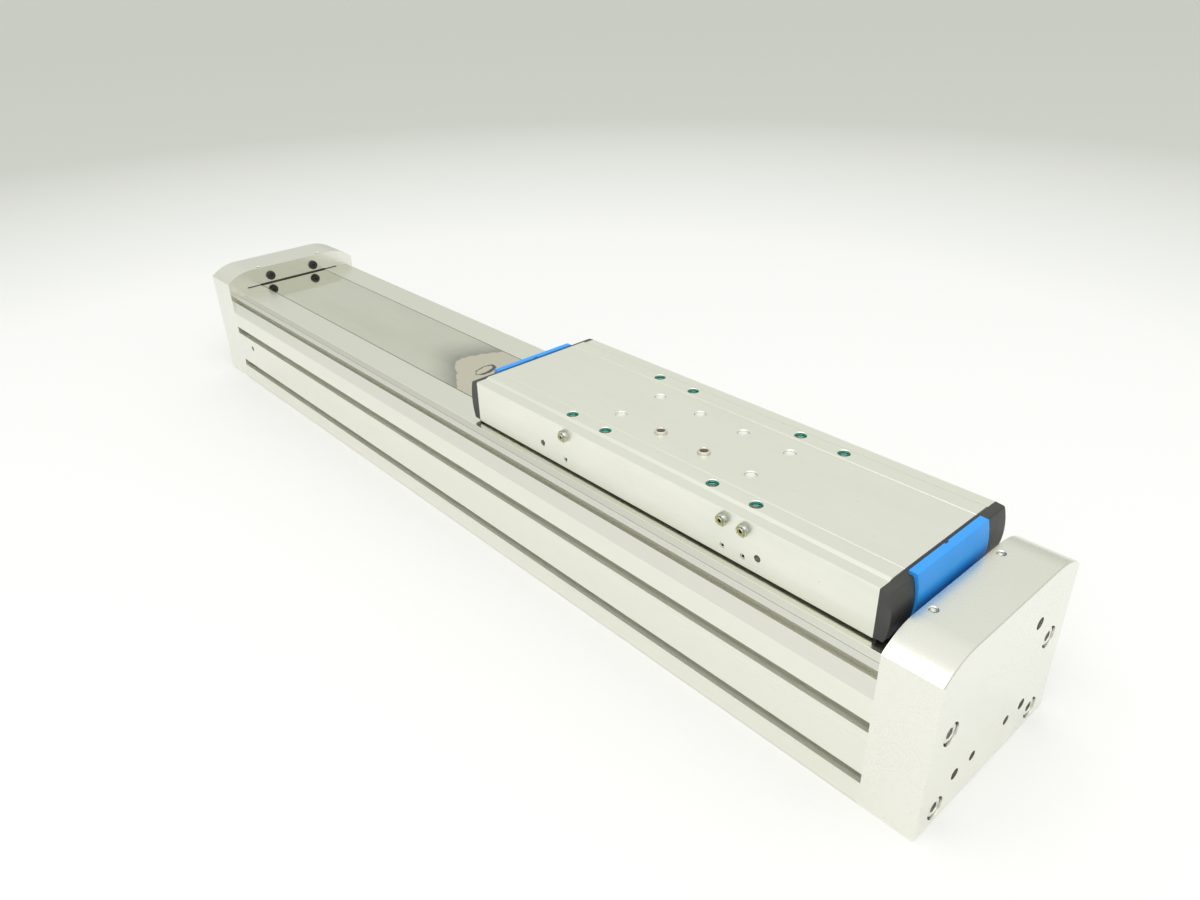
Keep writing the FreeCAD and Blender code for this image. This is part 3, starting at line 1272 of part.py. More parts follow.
def make_cover_insert(end, sign):
    """Coloured insert that fills a cover's recess and stands proud of it, notched for the clip."""
    insert = new_body(f"{end}_cover_insert")
    sketch = new_sketch(insert, f"{end}_insert_side", "XZ_Plane")
    outline(sketch, front_corners(sign, "insert", "slide_end + cover_plate"))
    pad(insert, sketch, "insert_piece_width", both_ways=True)
    round_brow(insert, sign, "insert")
    plate = f"slide_center + {sign} * (slide_end + cover_plate)"
    notch = new_sketch(insert, f"{end}_insert_notch", "YZ_Plane", plate)
    half = "(clip_width / 2 + insert_piece_gap)"
    rectangle(notch, f"-{half}", half, "cover_top - clip_depth - insert_piece_gap", "insert_top + overcut")
    pocket(insert, notch, "clip_reach + insert_piece_gap", backwards=sign > 0)


def make_cover_screws():
    """Low-head screws that hold the covers, hidden behind the inserts."""
    body = new_body("cover_screws")
    for end, sign in ENDS:
        seat = f"slide_center + {sign} * (slide_end + cover_plate - cover_screw_head_height)"
        studs(body, f"{end}_cover_screw_heads", "YZ_Plane", seat, COVER_SCREW_PLACES,
              "cover_screw_head_radius", "cover_screw_head_height", sign < 0)
        studs(body, f"{end}_cover_screw_shanks", "YZ_Plane", seat, COVER_SCREW_PLACES, "cover_screw_radius",
              "cover_plate - cover_screw_head_height + cover_screw_grip", sign > 0)


def make_slide_wipers():
    """Lips under the covers that wipe the ledges and the strip."""
    body = new_body("slide_wipers")
    for end, sign in ENDS:
        sketch = new_sketch(body, f"{end}_wiper", "YZ_Plane", f"slide_center + {sign} * slide_end")
        rectangle(sketch, "-(slide_width / 2 - wiper_inset)", "slide_width / 2 - wiper_inset",
                  "ledge_height + running_gap", "cover_bottom")
        pad(body, sketch, "wiper_thickness", backwards=sign < 0)


def make_strip_glides():
    """Moulded glides in the tunnel: one pair lifts the strip over the yoke, the other holds it down."""
    lift = new_body("strip_lift_glides")
    hold = new_body("strip_hold_down_glides")
    bend = "(ramp_radius - glide_gap)"
    lift_base = "strip_base + strip_lift - ramp_radius"
    hold_base = "ledge_height + ramp_radius"
    lift_sketch = new_sketch(lift, "lift_glide_side", "XZ_Plane")
    hold_sketch = new_sketch(hold, "hold_glide_side", "XZ_Plane")
    for _, sign in ENDS:
        start, end = "yoke_length / 2", "yoke_length / 2 + lift_glide_length"
        low = "slide_bottom + glide_clearance"
        rise = {place: f"{lift_base} + sqrt({bend} ^ 2 - ({place} - crown_reach) ^ 2)"
                for place in (start, end)}
        outline(lift_sketch, [
            (f"slide_center + {sign} * ({start})", low),
            (f"slide_center + {sign} * ({start})", rise[start], bend, -sign),
            (f"slide_center + {sign} * ({end})", rise[end]), (f"slide_center + {sign} * ({end})", low)])
        start, end = "arch_reach - hold_glide_length", "arch_reach"
        drop = {place: f"{hold_base} - sqrt({bend} ^ 2 - (arch_reach - ({place})) ^ 2)"
                for place in (start, end)}
        outline(hold_sketch, [
            (f"slide_center + {sign} * ({start})", "tunnel_ceiling"),
            (f"slide_center + {sign} * ({start})", drop[start], bend, -sign),
            (f"slide_center + {sign} * ({end})", drop[end]),
            (f"slide_center + {sign} * ({end})", "tunnel_ceiling")])
    pad(lift, lift_sketch, "glide_width", both_ways=True)
    pad(hold, hold_sketch, "glide_width", both_ways=True)


def make_all():
    make_profile()
    make_idle_end_cap()
    make_drive_end_cap()
    make_end_cap_screws()
    make_stop_buffers()
    make_cover_strip()
    make_magnet_strips()
    make_strip_clamps()
    make_guide_rails()
    make_ball_screw()
    make_bearings()
    make_bearing_locks()
    make_carriages()
    make_slide_yoke()
    make_ball_nut()
    make_slide_body()
    make_yoke_screws()
    make_top_fittings()
    make_side_fittings()
    for end, sign in ENDS:
        make_slide_cover(end, sign)
        make_cover_insert(end, sign)
    make_cover_screws()
    make_slide_wipers()
    make_strip_glides()


def check_all():
    """Stop if anything in the document failed or a sub-part has no sound shape."""
    doc.recompute()
    for item in doc.Objects:
        if "Invalid" in item.State or "Error" in item.State:
            raise RuntimeError(f"{item.Label} failed: {item.State}")
    for node in nodes:
        if node.Shape.isNull() or not node.Shape.isValid():
            raise RuntimeError(f"{node.Label} has no sound shape")


make_all()
check_all()
os.makedirs("parts", exist_ok=True)
for node in nodes:
    node.Shape.exportStep(f"parts/{node.Label}.step")
    print(node.Label, len(node.Shape.Solids), round(node.Shape.Volume))
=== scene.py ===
import math
import bmesh
import bpy
from mathutils import Matrix, Vector


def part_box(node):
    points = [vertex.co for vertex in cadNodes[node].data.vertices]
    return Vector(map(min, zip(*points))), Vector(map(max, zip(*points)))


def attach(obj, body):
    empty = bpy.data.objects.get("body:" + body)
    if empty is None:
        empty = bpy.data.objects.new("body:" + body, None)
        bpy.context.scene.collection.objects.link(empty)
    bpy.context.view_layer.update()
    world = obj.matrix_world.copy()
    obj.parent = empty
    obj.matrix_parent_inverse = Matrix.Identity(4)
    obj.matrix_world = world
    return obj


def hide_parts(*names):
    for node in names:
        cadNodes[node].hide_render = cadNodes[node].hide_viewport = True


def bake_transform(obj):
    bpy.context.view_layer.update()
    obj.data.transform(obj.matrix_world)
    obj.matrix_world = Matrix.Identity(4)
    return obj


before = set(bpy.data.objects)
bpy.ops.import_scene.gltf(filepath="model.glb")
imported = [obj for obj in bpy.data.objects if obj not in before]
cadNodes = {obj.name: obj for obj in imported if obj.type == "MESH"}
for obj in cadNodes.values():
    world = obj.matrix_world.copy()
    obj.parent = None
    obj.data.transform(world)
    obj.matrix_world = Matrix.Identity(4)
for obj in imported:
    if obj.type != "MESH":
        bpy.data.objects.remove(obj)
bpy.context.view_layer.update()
scene = bpy.context.scene
mm = 0.001  # pieces are in millimetres, materials, lights and camera in metres


# shader helpers and shared surface effects

def addNode(tree, kind, values=None, **settings):
    node = tree.nodes.new(kind)
    for key, value in settings.items():
        setattr(node, key, value)
    for key, value in (values or {}).items():
        node.inputs[key].default_value = value
    return node


def joinAll(tree, links):
    for source, target in links:
        tree.links.new(source, target)


def newGroup(name, inputs):
    tree = bpy.data.node_groups.new(name, "ShaderNodeTree")
    for label, kind, value in inputs:
        socket = tree.interface.new_socket(name=label, in_out="INPUT", socket_type=kind)
        socket.default_value = value
    tree.interface.new_socket(name="Mask", in_out="OUTPUT", socket_type="NodeSocketFloat")
    return tree, addNode(tree, "NodeGroupInput"), addNode(tree, "NodeGroupOutput")


def buildGrainGroup():
    tree, given, result = newGroup("grainLines", [
        ("Stretch", "NodeSocketVector", (1, 1, 1)), ("Low", "NodeSocketFloat", 0.3),
        ("High", "NodeSocketFloat", 0.7)])
    place = addNode(tree, "ShaderNodeTexCoord")
    scaled = addNode(tree, "ShaderNodeVectorMath", operation="MULTIPLY")
    noise = addNode(tree, "ShaderNodeTexNoise", {"Scale": 1.0, "Detail": 4.0, "Roughness": 0.6})
    span = addNode(tree, "ShaderNodeMapRange")
    joinAll(tree, [
        (place.outputs["Object"], scaled.inputs[0]), (given.outputs["Stretch"], scaled.inputs[1]),
        (scaled.outputs[0], noise.inputs["Vector"]), (noise.outputs["Fac"], span.inputs["Value"]),
        (given.outputs["Low"], span.inputs["From Min"]), (given.outputs["High"], span.inputs["From Max"]),
        (span.outputs["Result"], result.inputs["Mask"])])
    return tree


hairline = {"stretch": (0.16, 6.0, 6.0), "bend": (0.0, 0.02, 0.0), "bendScale": 14.0, "soft": 0.05}


def buildHairlineGroup():
    tree, given, result = newGroup("hairlines", [
        ("Scale", "NodeSocketFloat", 60.0), ("Turn", "NodeSocketFloat", 0.4),
        ("Keep", "NodeSocketFloat", 0.72)])
    place = addNode(tree, "ShaderNodeTexCoord")
    warp = addNode(tree, "ShaderNodeTexNoise", {"Scale": hairline["bendScale"], "Detail": 1.0})
    bent = addNode(tree, "ShaderNodeVectorMath", {1: hairline["bend"]}, operation="MULTIPLY_ADD")
    turned = addNode(tree, "ShaderNodeVectorRotate", rotation_type="Z_AXIS")
    drawn = addNode(tree, "ShaderNodeVectorMath", {1: hairline["stretch"]}, operation="MULTIPLY")
    noise = addNode(tree, "ShaderNodeTexNoise", {"Detail": 2.0, "Roughness": 0.5})
    edge = addNode(tree, "ShaderNodeMath", {1: hairline["soft"]}, operation="ADD")
    span = addNode(tree, "ShaderNodeMapRange")
    joinAll(tree, [
        (place.outputs["Object"], warp.inputs["Vector"]), (warp.outputs["Color"], bent.inputs[0]),
        (place.outputs["Object"], bent.inputs[2]), (bent.outputs[0], turned.inputs["Vector"]),
        (given.outputs["Turn"], turned.inputs["Angle"]), (turned.outputs["Vector"], drawn.inputs[0]),
        (drawn.outputs[0], noise.inputs["Vector"]), (given.outputs["Scale"], noise.inputs["Scale"]),
        (given.outputs["Keep"], edge.inputs[0]), (noise.outputs["Fac"], span.inputs["Value"]),
        (given.outputs["Keep"], span.inputs["From Min"]), (edge.outputs[0], span.inputs["From Max"]),
        (span.outputs["Result"], result.inputs["Mask"])])
    return tree


def buildSpeckGroup():
    tree, given, result = newGroup("specks", [
        ("Scale", "NodeSocketFloat", 160.0), ("Size", "NodeSocketFloat", 0.12),
        ("Share", "NodeSocketFloat", 0.2)])
    place = addNode(tree, "ShaderNodeTexCoord")
    cells = addNode(tree, "ShaderNodeTexVoronoi")
    near = addNode(tree, "ShaderNodeMath", operation="LESS_THAN")
    pick = addNode(tree, "ShaderNodeSeparateColor")
    few = addNode(tree, "ShaderNodeMath", operation="LESS_THAN")
    both = addNode(tree, "ShaderNodeMath", operation="MULTIPLY")
    joinAll(tree, [
        (place.outputs["Object"], cells.inputs["Vector"]), (given.outputs["Scale"], cells.inputs["Scale"]),
        (cells.outputs["Distance"], near.inputs[0]), (given.outputs["Size"], near.inputs[1]),
        (cells.outputs["Color"], pick.inputs["Color"]), (pick.outputs["Red"], few.inputs[0]),
        (given.outputs["Share"], few.inputs[1]), (near.outputs[0], both.inputs[0]),
        (few.outputs[0], both.inputs[1]), (both.outputs[0], result.inputs["Mask"])])
    return tree


grainGroup = buildGrainGroup()
hairlineGroup = buildHairlineGroup()
speckGroup = buildSpeckGroup()


def newMaterial(name, color, roughness, metallic=0.0):
    material = bpy.data.materials.new(name)
    material.use_nodes = True
    tree = material.node_tree
    shader = tree.nodes["Principled BSDF"]
    shader.inputs["Base Color"].default_value = (*color, 1)
    shader.inputs["Roughness"].default_value = roughness
    shader.inputs["Metallic"].default_value = metallic
    return material, tree, shader


def useGroup(tree, group, values):
    return addNode(tree, "ShaderNodeGroup", values, node_tree=group).outputs["Mask"]


def mixColor(tree, mask, first, second):
    node = addNode(tree, "ShaderNodeMix", data_type="RGBA", blend_type="MIX")
    tree.links.new(mask, node.inputs["Factor"])
    for slot, value in (("A", first), ("B", second)):
        socket = next(s for s in node.inputs if s.name == slot and s.type == "RGBA")
        if isinstance(value, tuple):
            socket.default_value = (*value, 1)
        else:
            tree.links.new(value, socket)
    return next(s for s in node.outputs if s.type == "RGBA")


def spanOf(tree, value, low, high, toLow=0.0, toHigh=1.0):
    limits = {"From Min": low, "From Max": high, "To Min": toLow, "To Max": toHigh}
    node = addNode(tree, "ShaderNodeMapRange", limits)
    tree.links.new(value, node.inputs["Value"])
    return node.outputs["Result"]


def spread(tree, mask, toLow, toHigh):
    return spanOf(tree, mask, 0.0, 1.0, toLow, toHigh)


def combine(tree, operation, first, second):  # numbers are given as floats
    node = addNode(tree, "ShaderNodeMath", operation=operation)
    for index, value in enumerate((first, second)):
        if isinstance(value, float):
            node.inputs[index].default_value = value
        else:
            tree.links.new(value, node.inputs[index])
    return node.outputs[0]


def scaledColor(tree, color, share):
    node = addNode(tree, "ShaderNodeVectorMath", {1: (share, share, share)}, operation="MULTIPLY")
    tree.links.new(color, node.inputs[0])
    return node.outputs[0]


def addBump(tree, shader, height, strength, distance):
    node = addNode(tree, "ShaderNodeBump", {"Strength": strength, "Distance": distance})
    tree.links.new(height, node.inputs["Height"])
    tree.links.new(node.outputs["Normal"], shader.inputs["Normal"])


def zoneMask(tree, zone):
    place = addNode(tree, "ShaderNodeTexCoord")
    parts = addNode(tree, "ShaderNodeSeparateXYZ")
    tree.links.new(place.outputs["Object"], parts.inputs[0])
    limits = []
    for key, axis in (("along", "X"), ("side", "Y"), ("height", "Z")):
        if key in zone:
            low, high = zone[key]
            value = combine(tree, "ABSOLUTE", parts.outputs[axis], 0.0)  # the same on both sides and ends
            limits += [combine(tree, "GREATER_THAN", value, low), combine(tree, "LESS_THAN", value, high)]
    mask = limits[0]
    for limit in limits[1:]:
        mask = combine(tree, "MULTIPLY", mask, limit)
    return mask


satin = {"metal": 1.0, "swing": 0.04, "bumpHeight": 0.0001, "speckTone": 0.6,
         "cloudSpan": (0.35, 0.65)}  # what a satin look has when it gives no value of its own


def satinMetal(name, ownLook):
    look = {**satin, **ownLook}
    cloudLow, cloudHigh = look["cloudSpan"]
    material, tree, shader = newMaterial(name, look["light"], look["rough"], look["metal"])
    grain = useGroup(tree, grainGroup, {"Stretch": look["stretch"]})
    cloud = useGroup(tree, grainGroup, {"Stretch": look["cloud"], "Low": cloudLow, "High": cloudHigh})
    tone = combine(tree, "ADD", spread(tree, grain, 0.0, look["grainTone"]),
                   spread(tree, cloud, 0.0, look["cloudTone"]))
    color = mixColor(tree, tone, look["light"], look["dark"])
    rough, swing = look["rough"], look["swing"]
    polish = combine(tree, "ADD", spread(tree, grain, rough - swing, rough + swing),
                     spread(tree, cloud, -swing, swing))
    if "scratch" in look:
        lines = [useGroup(tree, hairlineGroup, {"Scale": scale, "Turn": turn, "Keep": keep})
                 for scale, turn, keep in look["scratch"]]
        mark = lines[0]
        for line in lines[1:]:
            mark = combine(tree, "MAXIMUM", mark, line)
        color = mixColor(tree, spread(tree, mark, 0.0, look["scratchTone"]), color, look["scratchColor"])
    if "specks" in look:
        scale, size, share, tint = look["specks"]
        dots = useGroup(tree, speckGroup, {"Scale": scale, "Size": size, "Share": share})
        color = mixColor(tree, spread(tree, dots, 0.0, look["speckTone"]), color, tint)
    # painted shade: each zone darkens the colour by its tone, and may change how metallic it is
    for zone in look.get("paintedShadeZones", []):
        inside = zoneMask(tree, zone)
        color = mixColor(tree, inside, color, scaledColor(tree, color, zone["tone"]))
        if "metal" in zone:
            tree.links.new(spread(tree, inside, look["metal"], zone["metal"]), shader.inputs["Metallic"])
    tree.links.new(color, shader.inputs["Base Color"])
    tree.links.new(polish, shader.inputs["Roughness"])
    addBump(tree, shader, grain, look["bump"], look["bumpHeight"])
    return material


mould = {"grainTone": 0.35, "cloud": (30, 30, 30), "cloudSpan": (0.35, 0.65), "cloudTone": 0.4,
         "swing": (-0.05, 0.06), "bumpHeight": 0.0002}  # shared by all moulded pieces


def mouldedPlastic(name, look):
    cloudLow, cloudHigh = mould["cloudSpan"]
    smoother, rougher = mould["swing"]
    material, tree, shader = newMaterial(name, look["light"], look["rough"])
    texture = useGroup(tree, grainGroup, {"Stretch": look["stretch"]})
    cloud = useGroup(tree, grainGroup, {"Stretch": mould["cloud"], "Low": cloudLow, "High": cloudHigh})
    tone = combine(tree, "ADD", spread(tree, texture, 0.0, mould["grainTone"]),
                   spread(tree, cloud, 0.0, mould["cloudTone"]))
    color = mixColor(tree, tone, look["light"], look["dark"])
    polish = spread(tree, cloud, look["rough"] + smoother, look["rough"] + rougher)
    tree.links.new(color, shader.inputs["Base Color"])
    tree.links.new(polish, shader.inputs["Roughness"])
    addBump(tree, shader, texture, look["bump"], mould["bumpHeight"])
    return material


print("stage: metals")
# painted shade: the body is painted darker on its leaning band, side groove and lip, standing in for shade
# and darker reflections there, and a little darker and less metallic inside its slots
bodyLook = {"light": (0.855, 0.853, 0.772), "dark": (0.755, 0.757, 0.68), "rough": 0.24, "swing": 0.02,
            "stretch": (2.5, 900, 900), "cloud": (1.2, 14, 14), "grainTone": 0.07, "cloudTone": 0.16,
            "bump": 0.008, "specks": (110.0, 0.05, 0.10, (0.62, 0.62, 0.55)),
            "paintedShadeZones": [{"side": (0.08, 0.1), "height": (0.0983, 0.1129), "tone": 0.86},
                      {"side": (0.08, 0.1), "height": (0.1129, 0.1192), "tone": 0.80},
                      {"side": (0.0818, 0.1), "height": (0.1192, 0.1273), "tone": 0.80},
                      {"side": (0.07, 0.0926), "height": (0.0, 0.0965), "tone": 0.95, "metal": 0.6}]}
bodyMetal = satinMetal("bodyMetal", bodyLook)
# painted shade: the caps are painted near black just under their relief over the strip and the ledges,
# where the slot lies in shade
capLook = {"light": (0.865, 0.862, 0.795), "dark": (0.775, 0.777, 0.71), "rough": 0.27, "swing": 0.008,
           "stretch": (900, 900, 900), "cloud": (9, 9, 9), "grainTone": 0.015, "cloudTone": 0.14,
           "bump": 0.002, "specks": (150.0, 0.05, 0.08, (0.6, 0.6, 0.55)),
           "paintedShadeZones": [{"along": (0.5121, 0.5145), "side": (-1.0, 0.068), "height": (0.127, 0.1284),
                      "tone": 0.08, "metal": 0.2}]}
capMetal = satinMetal("capMetal", capLook)
slideLook = {"light": (0.89, 0.892, 0.812), "dark": (0.76, 0.77, 0.695), "rough": 0.44,
             "stretch": (5, 620, 620), "cloud": (7, 22, 22), "grainTone": 0.10, "cloudTone": 0.30,
             "bump": 0.03, "specks": (120.0, 0.07, 0.14, (0.58, 0.58, 0.52)),
             "scratch": [(22.0, 0.35, 0.66), (30.0, -0.9, 0.67), (26.0, 1.8, 0.68)],
             "scratchTone": 0.10, "scratchColor": (0.93, 0.93, 0.88)}
slideMetal = satinMetal("slideMetal", slideLook)
zincLook = {"light": (0.82, 0.815, 0.77), "dark": (0.62, 0.62, 0.58), "rough": 0.2,
            "stretch": (700, 700, 700), "cloud": (120, 120, 120), "grainTone": 0.3, "cloudTone": 0.35,
            "bump": 0.08}
zincMetal = satinMetal("zincMetal", zincLook)
darkLook = {"light": (0.16, 0.16, 0.155), "dark": (0.07, 0.07, 0.07), "rough": 0.36,
            "stretch": (600, 600, 600), "cloud": (90, 90, 90), "grainTone": 0.4, "cloudTone": 0.4,
            "bump": 0.1}
darkMetal = satinMetal("darkMetal", darkLook)
groundLook = {"light": (0.74, 0.74, 0.73), "dark": (0.60, 0.60, 0.60), "rough": 0.22,
              "stretch": (900, 30, 30), "cloud": (30, 30, 30), "grainTone": 0.35, "cloudTone": 0.3,
              "bump": 0.05}
groundMetal = satinMetal("groundMetal", groundLook)
plugLook = {"light": (0.96, 0.955, 0.93), "dark": (0.84, 0.835, 0.80), "rough": 0.12,
            "stretch": (400, 400, 400), "cloud": (150, 150, 150), "grainTone": 0.2, "cloudTone": 0.3,
            "bump": 0.03}
plugMetal = satinMetal("plugMetal", plugLook)
nippleLook = {"light": (0.62, 0.63, 0.58), "dark": (0.40, 0.41, 0.37), "rough": 0.24,
              "stretch": (500, 500, 500), "cloud": (160, 160, 160), "grainTone": 0.4, "cloudTone": 0.4,
              "bump": 0.06}
nippleMetal = satinMetal("nippleMetal", nippleLook)
sleeveLook = {"light": (0.84, 0.81, 0.75), "dark": (0.70, 0.67, 0.60), "rough": 0.34,
              "stretch": (700, 700, 700), "cloud": (150, 150, 150), "grainTone": 0.3, "cloudTone": 0.3,
              "bump": 0.04}
sleeveMetal = satinMetal("sleeveMetal", sleeveLook)
boreLook = {"light": (0.60, 0.54, 0.42), "dark": (0.42, 0.37, 0.27), "rough": 0.5, "metal": 0.5,
            "stretch": (300, 300, 900), "cloud": (180, 180, 180), "grainTone": 0.4, "cloudTone": 0.5,
            "bump": 0.08}
sleeveBore = satinMetal("sleeveBore", boreLook)
greenLook = {"light": (0.06, 0.42, 0.35), "dark": (0.03, 0.25, 0.21), "rough": 0.2, "metal": 0.85,
             "stretch": (700, 700, 700), "cloud": (200, 200, 200), "grainTone": 0.3, "cloudTone": 0.4,
             "bump": 0.1}
greenCoat = satinMetal("greenCoat", greenLook)
# the thread deeper in the bore is darker olive: in part its own colour, in part painted shade of the bore
shadedThreadLook = {"light": (0.30, 0.32, 0.24), "dark": (0.12, 0.17, 0.13), "rough": 0.2,
              "stretch": (500, 500, 500), "cloud": (160, 160, 160), "grainTone": 0.4, "cloudTone": 0.5,
              "bump": 0.06}
shadedThreadSteel = satinMetal("shadedThreadSteel", shadedThreadLook)

print("stage: plastics and rubber")
blackLook = {"light": (0.050, 0.050, 0.046), "dark": (0.034, 0.034, 0.032), "rough": 0.46,
             "stretch": (900, 900, 900), "bump": 0.25}
blackPlastic = mouldedPlastic("blackPlastic", blackLook)
blueLook = {"light": (0.033, 0.360, 0.98), "dark": (0.028, 0.325, 0.91), "rough": 0.42,
            "stretch": (1000, 1000, 1000), "bump": 0.12}
bluePlastic = mouldedPlastic("bluePlastic", blueLook)
rubberLook = {"light": (0.030, 0.030, 0.030), "dark": (0.018, 0.018, 0.018), "rough": 0.62,
              "stretch": (800, 800, 800), "bump": 0.3}
blackRubber = mouldedPlastic("blackRubber", rubberLook)
glideLook = {"light": (0.12, 0.12, 0.12), "dark": (0.08, 0.08, 0.08), "rough": 0.5,
             "stretch": (600, 600, 600), "bump": 0.2}
glidePlastic = mouldedPlastic("glidePlastic", glideLook)
yellowLook = {"light": (0.46, 0.42, 0.10), "dark": (0.32, 0.29, 0.06), "rough": 0.4,
              "stretch": (700, 700, 700), "bump": 0.1}
yellowCap = mouldedPlastic("yellowCap", yellowLook)

print("stage: strip steel")
# painted shade: the strip's long rims are painted dark, standing in for the shaded gap beside the strip
stripLook = {"plain": (0.78, 0.77, 0.70), "plainRough": 0.07,  # where the patterns aren't shown
             "metal": 1.0, "light": (0.735, 0.742, 0.64), "dark": (0.655, 0.658, 0.548), "cloudTone": 0.5,
             "rolled": (1.5, 420, 420), "cloud": (6, 26, 26), "cloudSpan": (0.4, 0.7),
             "rough": (0.05, 0.12), "rolledRough": 0.03, "bump": 0.02, "bumpHeight": 0.0001,
             "rim": {"side": (0.0472, 0.05), "height": (0.1, 0.2)}, "rimShade": (0.30, 0.29, 0.24)}
# by the slide a stain lies on the strip, with painted shade that rises to the stain's front and stays
# beyond it; the front runs across the strip, as shares of the width and of the run
film = {"half": 0.048, "from": -0.10, "run": 0.08, "wobble": 0.012, "wobbleScale": 120.0, "edge": 0.0015,
        "fade": 0.075, "length": 0.07, "shade": (0.24, 0.25, 0.23), "shadeShare": 0.75, "shadePower": 2.0,
        "tint": (0.70, 0.655, 0.545),
        "front": [(0.0, 0.875), (0.094, 0.694), (0.25, 0.425), (0.432, 0.1125), (0.573, 0.075),
                  (0.75, 0.15), (0.896, 0.225), (1.0, 0.30)]}
# dark ring on the stain: centre and half sizes of its outer and inner oval
ring = {"turn": 1.85, "outer": ((-0.0484, 0.0032, 0), (0.0160, 0.0088, 1)),
        "inner": ((-0.0494, 0.0018, 0), (0.0122, 0.0050, 1)), "wobble": 0.8, "wobbleScale": 110.0,
        "soft": 9.0, "tone": (0.10, 0.105, 0.11)}


def swayOf(tree, place, look):
    noise = addNode(tree, "ShaderNodeTexNoise", {"Scale": look["wobbleScale"], "Detail": 3.0})
    tree.links.new(place, noise.inputs["Vector"])
    return spread(tree, noise.outputs["Fac"], -look["wobble"] / 2, look["wobble"] / 2)


def filmEdge(tree, place):
    parts = addNode(tree, "ShaderNodeSeparateXYZ")
    tree.links.new(place, parts.inputs[0])
    curve = addNode(tree, "ShaderNodeFloatCurve")
    points = curve.mapping.curves[0].points
    points[0].location = film["front"][0]
    points[-1].location = film["front"][-1]
    for spot in film["front"][1:-1]:
        points.new(*spot)
    curve.mapping.update()
    across = spanOf(tree, parts.outputs["Y"], -film["half"], film["half"])
    tree.links.new(across, curve.inputs["Value"])
    front = spread(tree, curve.outputs["Value"], film["from"], film["from"] + film["run"])
    swayed = combine(tree, "ADD", parts.outputs["X"], swayOf(tree, place, film))
    return combine(tree, "SUBTRACT", swayed, front)


def ringRadius(tree, place, oval):
    center, size = oval
    moved = addNode(tree, "ShaderNodeVectorMath", {1: center}, operation="SUBTRACT")
    turned = addNode(tree, "ShaderNodeVectorRotate", {"Angle": -ring["turn"]}, rotation_type="Z_AXIS")
    scaled = addNode(tree, "ShaderNodeVectorMath", {1: size}, operation="DIVIDE")
    flat = addNode(tree, "ShaderNodeVectorMath", {1: (1, 1, 0)}, operation="MULTIPLY")
    far = addNode(tree, "ShaderNodeVectorMath", operation="LENGTH")
    tree.links.new(place, moved.inputs[0])
    for first, second in ((moved, turned), (turned, scaled), (scaled, flat), (flat, far)):
        tree.links.new(first.outputs["Vector"], second.inputs[0])
    return combine(tree, "ADD", far.outputs["Value"], swayOf(tree, place, ring))


def softStep(tree, first, second):
    gap = combine(tree, "SUBTRACT", first, second)
    return spread(tree, combine(tree, "MULTIPLY", gap, ring["soft"]), 0.0, 1.0)


def brightStrip():
    look = stripLook
    cloudLow, cloudHigh = look["cloudSpan"]
    material, tree, shader = newMaterial("stripSteel", look["plain"], look["plainRough"], look["metal"])
    rolled = useGroup(tree, grainGroup, {"Stretch": look["rolled"]})
    cloud = useGroup(tree, grainGroup, {"Stretch": look["cloud"], "Low": cloudLow, "High": cloudHigh})
    color = mixColor(tree, spread(tree, cloud, 0.0, look["cloudTone"]), look["light"], look["dark"])
    place = addNode(tree, "ShaderNodeTexCoord").outputs["Object"]
    reach = filmEdge(tree, place)
    # painted shade, rising to the stain's front and staying beyond it towards the slide
    shadeRise = combine(tree, "POWER", spanOf(tree, reach, -film["fade"], 0.0), film["shadePower"])
    color = mixColor(tree, combine(tree, "MULTIPLY", shadeRise, film["shadeShare"]), color, film["shade"])
    entered = spanOf(tree, reach, 0.0, film["edge"])
    leaving = spanOf(tree, reach, film["length"], film["length"] + film["fade"], 1.0, 0.0)
    color = mixColor(tree, combine(tree, "MULTIPLY", entered, leaving), color, film["tint"])
    within = softStep(tree, 1.0, ringRadius(tree, place, ring["outer"]))
    beyond = softStep(tree, ringRadius(tree, place, ring["inner"]), 1.0)
    color = mixColor(tree, combine(tree, "MULTIPLY", within, beyond), color, ring["tone"])
    # painted shade along the strip's long rims, for the shaded gap beside it
    color = mixColor(tree, zoneMask(tree, look["rim"]), color, look["rimShade"])
    polish = combine(tree, "ADD", spread(tree, cloud, *look["rough"]),
                     spread(tree, rolled, 0.0, look["rolledRough"]))
    tree.links.new(color, shader.inputs["Base Color"])
    tree.links.new(polish, shader.inputs["Roughness"])
    addBump(tree, shader, rolled, look["bump"], look["bumpHeight"])
    return material


stripSteel = brightStrip()

print("stage: finishes of the CAD nodes")
finishes = [
    (bodyMetal, ["profile"]),
    (capMetal, ["idle_end_cap", "drive_end_cap", "slide_yoke"]),
    (slideMetal, ["slide_body"]),
    (stripSteel, ["cover_strip"]),
    (groundMetal, ["guide_rails", "guide_carriages", "ball_nut", "ball_screw", "idle_bearing_outer_ring",
                   "idle_bearing_inner_ring", "idle_bearing_balls", "fixed_bearing_outer_ring",
                   "fixed_bearing_inner_ring", "fixed_bearing_balls"]),
    (zincMetal, ["bearing_retainer", "end_cap_screws", "lube_port_plugs"]),
    (darkMetal, ["strip_clamp_plates", "strip_clamp_screws", "guide_rail_screws", "idle_bearing_circlip",
                 "bearing_lock_nut", "bearing_retainer_screws", "carriage_screws", "ball_nut_screws",
                 "yoke_screws", "cover_screws"]),
    (plugMetal, ["hole_plugs"]),
    (nippleMetal, ["lube_nipples"]),
    (sleeveMetal, ["centring_sleeves"]),
    (greenCoat, ["thread_inserts"]),
    (blackPlastic, ["idle_slide_cover", "drive_slide_cover"]),
    (bluePlastic, ["idle_cover_insert", "drive_cover_insert"]),
    (blackRubber, ["magnet_strips", "stop_buffers", "slide_wipers"]),
    (glidePlastic, ["carriage_end_caps", "strip_lift_glides", "strip_hold_down_glides"])]
